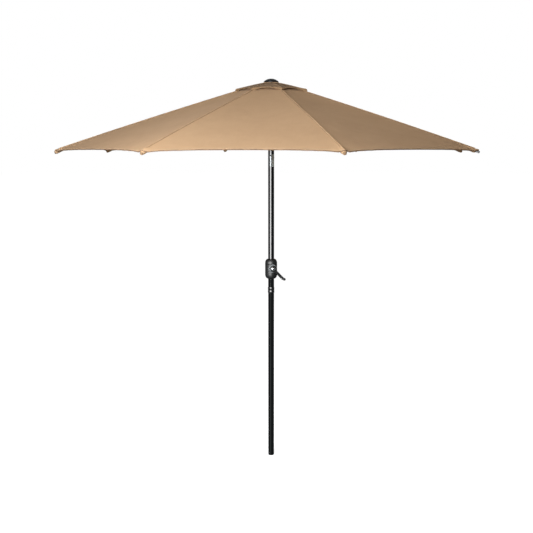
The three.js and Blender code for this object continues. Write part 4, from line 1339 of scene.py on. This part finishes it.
def sheet_piece(name, rows, coordinates, thick, material, place):
    """A closed thin sheet from a grid of points, with its rim sharp and its cloth coordinates."""
    wide, tall = len(rows[0]), len(rows)
    verts, faces, spots = [], [], []
    normals = []
    for i in range(tall):
        for j in range(wide):
            du = rows[min(i + 1, tall - 1)][j] - rows[max(i - 1, 0)][j]
            dv = rows[i][min(j + 1, wide - 1)] - rows[i][max(j - 1, 0)]
            normal = du.cross(dv).normalized()
            normals.append(-normal if normal.z < 0 else normal)
    for layer in (0, 1):
        for i in range(tall):
            for j in range(wide):
                verts.append(rows[i][j] - normals[i * wide + j] * thick * layer)
                spots.append(coordinates[i][j])
    count = wide * tall
    for i in range(tall - 1):
        for j in range(wide - 1):
            a, b = i * wide + j, i * wide + j + 1
            c, d = (i + 1) * wide + j + 1, (i + 1) * wide + j
            faces.append((a, b, c, d))
            faces.append((count + a, count + d, count + c, count + b))
    loop = list(range(wide)) + [i * wide + wide - 1 for i in range(1, tall)]
    loop += [(tall - 1) * wide + j for j in range(wide - 2, -1, -1)]
    loop += [i * wide for i in range(tall - 2, 0, -1)]
    for s, t in zip(loop, loop[1:] + loop[:1]):
        faces.append((s, count + s, count + t, t))
    mesh = bpy.data.meshes.new(name)
    mesh.from_pydata([tuple(v) for v in verts], [], faces)
    lay_cloth(mesh, spots)
    mesh.transform(place)
    work = bmesh.new()
    work.from_mesh(mesh)
    bmesh.ops.recalc_face_normals(work, faces=work.faces)
    for face in work.faces:
        face.smooth = True
    work.to_mesh(mesh)
    work.free()
    mesh.set_sharp_from_angle(angle=math.radians(50))
    mesh.materials.append(material)
    return add_object(name, mesh)


print("tip height", cloth_line(COVER_OUTER), "hem middle", cover_point(hem_station(1), 1))

# %% [markdown]
# ## How the cover rides on the ribs
# A rib carries its two half gores with it. On the real umbrella the cloth hangs in a pleat on each side
# of the rib when the rib comes down; here each half only gets its own copy of its mesh, and nothing
# flattens it. The seam, its stitches and the pocket at the tip stay on the rib.


def pleat(piece, k, side, gap=0.0068, lift=0.0):
    """Gives a piece beside rib k its own copy of its mesh; the anchor it works out is not used."""
    outward = spoke(k) @ Vector((1, 0, 0))
    across = (spoke(k) @ Vector((0, 1, 0))) * side
    anchor = outward * PIVOT_RADIUS + across * gap
    anchor.z = cloth_line(PIVOT_RADIUS) + lift
    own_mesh(piece)


# %% Stitch tree
def build_stitch_tree():
    tree, enter, leave = geometry_tree("stitch_row", [
        ("Pitch", "NodeSocketFloat", 0.0036), ("Length", "NodeSocketFloat", 0.0025),
        ("Thick", "NodeSocketFloat", 0.00045), ("Finish", "NodeSocketMaterial", None)])
    link = tree.links.new
    line = tree.nodes.new("GeometryNodeMeshToCurve")
    evenly = tree.nodes.new("GeometryNodeResampleCurve")
    evenly.mode = "LENGTH"
    heading = tree.nodes.new("GeometryNodeInputTangent")
    turn = tree.nodes.new("FunctionNodeAlignRotationToVector")
    turn.axis = "Z"
    thread = tree.nodes.new("GeometryNodeMeshCylinder")
    thread.inputs["Vertices"].default_value = 5
    spread = tree.nodes.new("GeometryNodeInstanceOnPoints")
    link(enter.outputs["Geometry"], line.inputs["Mesh"])
    link(line.outputs["Curve"], evenly.inputs["Curve"])
    link(enter.outputs["Pitch"], evenly.inputs["Length"])
    link(heading.outputs["Tangent"], turn.inputs["Vector"])
    link(enter.outputs["Thick"], thread.inputs["Radius"])
    link(enter.outputs["Length"], thread.inputs["Depth"])
    link(evenly.outputs["Curve"], spread.inputs["Points"])
    link(thread.outputs["Mesh"], spread.inputs["Instance"])
    link(turn.outputs["Rotation"], spread.inputs["Rotation"])
    painted_end(tree, spread.outputs["Instances"], enter, leave)
    return tree


stitch_row = build_stitch_tree()
STITCH = {"Pitch": 0.0042, "Length": 0.0029, "Thick": 0.00045, "Finish": stitch_thread}


def stitches(name, *paths):
    return grown(name, polyline(name, *paths), stitch_row, STITCH)


# %% Half gores with their hems
HEM_BAND = 0.015
HEM_PROFILE = [(-HEM_BAND, 0.0004), (-HEM_BAND + 0.001, 0.0016), (-0.006, 0.0020), (0.0, 0.0018),
               (0.0012, 0.0002), (0.0008, -0.0022), (-0.002, -0.0030)]
HEM_WAVE = 0.0005
ROLL_ROW = 3
HEM_WEAVE_SHIFT = 0.3
STITCH_LIFT = 0.0019
GORE_COLUMNS, GORE_ROWS = 16, 72


def half_label(k, side):
    return f"{k}{'a' if side < 0 else 'b'}"


def shares_of(side, columns):
    """Shares of the way from the rib to the middle of the gore, on one side."""
    return [side * (j / columns) for j in range(columns + 1)]


def panel(name, shares, rows, inner, edge, point, material, turn):
    """Half a panel of cloth, from its inner edge out to its hem."""
    grid, spots = [], []
    for u in stations(0, 1, rows):
        reaches = [inner + (edge(a) - inner) * u for a in shares]
        grid.append([point(r, a) for r, a in zip(reaches, shares)])
        spots.append([weave_place(r, a) for r, a in zip(reaches, shares)])
    return sheet_piece(name, grid, spots, CLOTH_THICK, material, turn)


def rolled_hem(name, shares, profile, wave, edge, point, thick, material, turn):
    """Cloth rolled over the cut edge of half a panel, on a profile of (reach, lift)."""
    grid, spots = [], []
    for reach, lift in profile:
        reaches = [edge(a) + reach for a in shares]
        lifts = [lift + wave * math.sin(46 * abs(a)) * (1 - abs(a)) for a in shares]
        grid.append([point(r, a, up) for r, a, up in zip(reaches, shares, lifts)])
        spots.append([weave_place(r + HEM_WEAVE_SHIFT, a) for r, a in zip(reaches, shares)])
    return sheet_piece(name, grid, spots, thick, material, turn)


def hem_row(name, side, count, inset, edge, point, turn):
    """The row of stitches along half a hem."""
    shares = [side * j / count for j in range(1, count + 1)]
    return stitches(name, [turn @ point(edge(a) - inset, a, STITCH_LIFT) for a in shares])


def paint_roll(hem):
    """Paints the hem's rolled lower edge darker, as painted shade under the roll."""
    per_row = 2 * GORE_COLUMNS
    first, last = ROLL_ROW * per_row, (len(HEM_PROFILE) - 1) * per_row
    second_finish(hem, roll_shade_cloth, lambda face: first <= face.index < last)


def half_gore(k, side):
    """One half gore, its rolled hem and the hem's stitches."""
    label, turn = half_label(k, side), spoke(k)
    shares = shares_of(side, GORE_COLUMNS)
    gore = panel(f"gore_{label}", shares, GORE_ROWS, COVER_INNER, hem_station, cover_point,
                 canopy_cloth, turn)
    hem = rolled_hem(f"hem_{label}", shares, HEM_PROFILE, HEM_WAVE, hem_station, cover_point,
                     0.0010, hem_cloth, turn)
    paint_roll(hem)
    seam = hem_row(f"hem_stitches_{label}", side, 40, 0.0115, hem_station, cover_point, turn)
    return gore, hem, seam


for k in RIBS:
    for side in (-1, 1):
        gore, hem, seam = half_gore(k, side)
        for piece in (gore, hem, seam):
            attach(piece, f"rib_arm_{k}")
            pleat(piece, k, side)
        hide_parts(f"canopy_sector_{k}")

# %% [markdown]
# ## Seams, pockets and their stitches
# The gores meet over each rib in a felled seam: both edges are folded into each other and sewn down by
# two rows. It stands about 3 mm proud and is what draws the light line down each rib. At the tip it
# runs into a pocket of doubled cloth that hooks over the rib's end. The pocket is a short sleeve, lofted
# from cross sections that pinch and droop toward a small nose.

# %% Seam strips
SEAM_RISE = [(0.0072, 0.0003), (0.0060, 0.0011), (0.0044, 0.0024), (0.0026, 0.0031)]
SEAM_PROFILE = [(-y, up) for y, up in SEAM_RISE] + [(0.0, 0.0034)] + SEAM_RISE[::-1]
SEAM_STITCH = 0.0040


def seam_strip(k):
    """The felled seam over rib k, with its two rows of stitches."""
    turn = spoke(k)
    back = turn.inverted()
    rows, spots = [], []
    for r in stations(COVER_INNER - 0.004, COVER_OUTER - 0.020, 60):
        line, spot = [], []
        for across, up in SEAM_PROFILE:
            a = across / (r * HALF_CHORD_OUT)
            point = cover_point(r, a, 0.0)
            puff = 0.0003 * math.sin(r * 410 + k) * (1 if abs(across) < 0.004 else 0.3)
            line.append(Vector((point.x, across, point.z + up + puff)))
            spot.append((r, across))
        rows.append(line)
        spots.append(spot)
    strip = sheet_piece(f"seam_{k}", rows, spots, 0.0012, canopy_cloth, turn)
    # The seam's outer flanks get the darker cloth: painted shadow along its edges.
    second_finish(strip, painted_shade_cloth, lambda face: abs((back @ face.center).y) > SEAM_STITCH)
    on_body(strip, f"rib_arm_{k}", "canopy_fabric")
    lines = [[turn @ Vector((r, across, cloth_line(r) + 0.0026))
              for r in stations(COVER_INNER, COVER_OUTER - 0.03, 60)]
             for across in (-SEAM_STITCH, SEAM_STITCH)]
    on_body(stitches(f"seam_stitches_{k}", *lines), f"rib_arm_{k}", "canopy_fabric")


for k in RIBS:
    seam_strip(k)


# %% Tip pockets
SHORT_POCKET = 2
POCKET_SHORTFALL = 0.022
POCKET_HEART = RIB_DEPTH + 0.0052
# Each section is its reach past the rib's end, half width, half height and drop.
POCKET_SECTIONS = [(-0.066, 0.0150, 0.0050, 0.0010), (-0.058, 0.0190, 0.0085, 0.0006),
                   (-0.046, 0.0205, 0.0105, 0.0000), (-0.032, 0.0195, 0.0120, -0.0010),
                   (-0.018, 0.0165, 0.0122, -0.0022), (-0.007, 0.0130, 0.0115, -0.0032),
                   (0.0005, 0.0100, 0.0100, -0.0040), (0.0040, 0.0070, 0.0075, -0.0046),
                   (0.0052, 0.0030, 0.0035, -0.0048)]


def tip_pocket(k):
    """A sleeve of doubled cloth over the rib's end, closed to a blunt nose."""
    turn = spoke(k)
    back = turn.inverted()
    verts, faces, spots = [], [], []
    around = 26
    short = POCKET_SHORTFALL if k == SHORT_POCKET else 0.0
    end = CANOPY_RADIUS - 0.0035 - short
    for i, (reach, half, tall, drop) in enumerate(POCKET_SECTIONS):
        r = end + reach
        heart = under_cloth(r, POCKET_HEART)
        fall = cloth_fall(r)
        up = Vector((math.sin(fall), 0, math.cos(fall)))
        for s in range(around):
            angle = 2 * math.pi * s / around
            pinch = 1 + 0.07 * math.sin(5 * angle + 1.7 * i + k) * (1 if 0 < i < 7 else 0)
            across = half * math.cos(angle) * pinch
            lift = tall * math.sin(angle) * pinch + drop
            place = Vector((heart.x, across, heart.y)) + up * lift
            verts.append(place)
            spots.append((r, angle * 0.012))
    for i in range(len(POCKET_SECTIONS) - 1):
        for s in range(around):
            t = (s + 1) % around
            faces.append((i * around + s, i * around + t, (i + 1) * around + t,
                          (i + 1) * around + s))
    faces.append(tuple(range(around))[::-1])
    last = (len(POCKET_SECTIONS) - 1) * around
    faces.append(tuple(range(last, last + around)))
    mesh = bpy.data.meshes.new(f"tip_pocket_{k}")
    mesh.from_pydata([tuple(v) for v in verts], [], faces)
    lay_cloth(mesh, spots)
    mesh.transform(turn)
    pocket = finish_mesh(f"tip_pocket_{k}", mesh, canopy_cloth, 60.0)
    # The pocket's nose gets the darker cloth: painted shade at its end.
    second_finish(pocket, painted_shade_cloth, lambda face: (back @ face.center).x > end - 0.004)
    on_body(pocket, f"rib_arm_{k}", "canopy_fabric")
    hoops = []
    for reach, half, tall in ((-0.058, 0.0176, 0.0072), (-0.047, 0.0172, 0.0092)):
        heart = under_cloth(end + reach, POCKET_HEART)
        hoops.append([turn @ Vector((heart.x, half * math.cos(a),
                                     heart.y + tall * math.sin(a) + 0.0014))
                      for a in stations(0.15, math.pi - 0.15, 14)])
    on_body(stitches(f"pocket_stitches_{k}", *hoops), f"rib_arm_{k}", "canopy_fabric")


for k in RIBS:
    tip_pocket(k)
print("pockets made")

# %% [markdown]
# ## The wind vent
# A small second canopy covers the hole at the top, so that a gust can pass between the two. It is sewn
# down only over the ribs, and its hem lifts and curves in between them, which leaves eight dark slots.
# It is built like the cover, as two halves on each rib, and its cloth is the cover's tan painted darker,
# as painted shade. A gathered disc under the finial closes the middle and stays on the pole.

# %% Vent surface
VENT_OUTER = 0.236
CORNER_REACH = {2: 0.014, 7: -0.009}
VENT_INNER = 0.040
VENT_CUT = 0.018
VENT_RISE = 0.0028
VENT_FLAT = 0.07
VENT_COLUMNS, VENT_ROWS = 14, 30
VENT_PROFILE = [(0.036, 2.4136), (0.050, 2.4108), (0.070, 2.4068), (0.108, 2.3985), (0.150, 2.3885),
                (0.185, 2.3795), (0.220, 2.3710), (0.250, 2.3640)]
VENT_HEM_PROFILE = [(-0.0095, 0.0004), (-0.0088, 0.0014), (-0.004, 0.0018), (0.0, 0.0014),
                    (0.0008, -0.0004), (-0.0010, -0.0020)]


def vent_line(r):
    """Height of the vent over a rib, before it is smoothed."""
    for (r0, z0), (r1, z1) in zip(VENT_PROFILE, VENT_PROFILE[1:]):
        if r <= r1:
            return z0 + (z1 - z0) * (r - r0) / (r1 - r0)
    return VENT_PROFILE[-1][1]


def vent_point(r, a, lift=0.0):
    """A point of the vent in its rib's frame, like cover_point."""
    share = abs(a)
    out = max(0.0, (r - VENT_FLAT) / (VENT_OUTER - VENT_FLAT))
    raised = VENT_RISE * bulge(share) * out ** 2
    ruffle = 0.0016 * out ** 3 * math.sin(17 * share) * (1 - share)
    smooth = sum(vent_line(r + d) for d in (-0.012, -0.006, 0, 0.006, 0.012)) / 5
    return over_plan(r, a, smooth + raised + ruffle + lift)


def vent_edge(a, k):
    """Where the vent's hem runs; a corner or two were sewn a little long or short."""
    share = abs(a)
    own = CORNER_REACH.get(k, 0.0) * (1 - share) ** 3
    return VENT_OUTER + own - VENT_CUT * bulge(share)


SKIRT_GAP = 0.0012
SKIRT_DROP = 0.0022
SKIRT_SPREAD = 0.05


def vent_skirt(label, side, k, turn):
    """The corner's hem, eased down in small ruffles until it can be sewn to the cover."""
    grid, spots = [], []
    for u in stations(0, 1, 5):
        line, spot = [], []
        for a in shares_of(side, 40):
            edge = vent_edge(a, k)
            top = vent_point(edge, a)
            reach = abs(top.y)
            gap = top.z - cover_point(edge, a).z - SKIRT_GAP
            drop = SKIRT_DROP + (gap - SKIRT_DROP) * math.exp(-(reach / 0.030) ** 2)
            ruffle = 0.0024 * math.sin(reach * 330) * math.exp(-reach / SKIRT_SPREAD) * u
            outward = 0.0035 * math.sin(math.pi * u) * math.exp(-reach / SKIRT_SPREAD) + ruffle
            line.append(Vector((top.x + outward, top.y, top.z - SKIRT_GAP - drop * u)))
            spot.append((drop * u, a * edge * HALF_CHORD_OUT))
        grid.append(line)
        spots.append(spot)
    return sheet_piece(f"vent_skirt_{label}", grid, spots, 0.0009, shaded_vent_cloth, turn)


def vent_half(k, side):
    """One half of the vent on rib k, with its skirt, its rolled hem and the hem's stitches."""
    label, turn = half_label(k, side), spoke(k)
    shares = shares_of(side, VENT_COLUMNS)

    def edge(a):
        return vent_edge(a, k)

    vent = panel(f"vent_{label}", shares, VENT_ROWS, VENT_INNER, edge, vent_point, shaded_vent_cloth, turn)
    skirt = vent_skirt(label, side, k, turn)
    hem = rolled_hem(f"vent_hem_{label}", shares, VENT_HEM_PROFILE, 0.0, edge, vent_point, 0.0009,
                     shaded_vent_cloth, turn)
    seam = hem_row(f"vent_stitches_{label}", side, 24, 0.0068, edge, vent_point, turn)
    return vent, hem, seam, skirt


for k in RIBS:
    for side in (-1, 1):
        vent, hem, seam, skirt = vent_half(k, side)
        for piece in (vent, hem, seam, skirt):
            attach(piece, f"rib_arm_{k}")
            pleat(piece, k, side, 0.0090, 0.004)
        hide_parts("vent_canopy")
print("vent edge height", vent_point(VENT_OUTER, 0).z)


# %% Vent seams
def vent_seam(k):
    """The vent's seam over rib k, with its two rows of stitches."""
    turn = spoke(k)
    hem = vent_edge(0, k)
    rows, spots = [], []
    profile = [(-0.0056, 0.0002), (-0.0046, 0.0013), (0.0, 0.0021), (0.0046, 0.0013),
               (0.0056, 0.0002)]
    for r in stations(0.055, hem - 0.010, 24):
        centre = vent_point(r, 0)
        rows.append([Vector((centre.x, y, centre.z + up)) for y, up in profile])
        spots.append([(r, y) for y, _ in profile])
    strip = sheet_piece(f"vent_seam_{k}", rows, spots, 0.0010, shaded_vent_cloth, turn)
    on_body(strip, f"rib_arm_{k}", "canopy_fabric")
    lines = [[turn @ Vector((r, y, vent_point(r, 0).z + 0.0018))
              for r in stations(0.06, hem - 0.014, 24)] for y in (-0.0036, 0.0036)]
    on_body(stitches(f"vent_seam_stitches_{k}", *lines), f"rib_arm_{k}", "canopy_fabric")


for k in RIBS:
    vent_seam(k)


# %% Gathered crown
CROWN_INNER, CROWN_OUTER = 0.0065, 0.0535
CROWN_HEIGHT = 2.41435
CROWN_FOLDS, FOLD_DEPTH = 44, 0.0007
LIP_START, LIP_WIDTH, LIP_DROP = 0.044, 0.0095, 0.0032


def gathered_crown():
    """Pleats of cloth gathered under the finial."""
    rows, spots = [], []
    around = 240
    for i, r in enumerate(stations(CROWN_INNER, CROWN_OUTER, 12)):
        depth = FOLD_DEPTH * min(1.0, i / 5)
        lip = LIP_DROP * max(0.0, (r - LIP_START) / LIP_WIDTH) ** 1.5
        line, spot = [], []
        for s in range(around + 1):
            angle = 2 * math.pi * s / around
            fold = depth * math.sin(CROWN_FOLDS * angle + 1.3 * math.sin(3 * angle))
            z = CROWN_HEIGHT + fold - lip
            line.append(Vector((r * math.cos(angle), r * math.sin(angle), z)))
            spot.append((angle * 0.05, r))
        rows.append(line)
        spots.append(spot)
    crown = sheet_piece("gathered_crown", rows, spots, 0.0006, hem_cloth, Matrix.Identity(4))
    work = bmesh.new()
    work.from_mesh(crown.data)
    bmesh.ops.remove_doubles(work, verts=work.verts, dist=1e-6)
    work.to_mesh(crown.data)
    work.free()
    return crown


crown = gathered_crown()
on_body(crown, "upper_pole", "canopy_fabric")
print("crown faces", len(crown.data.polygons))
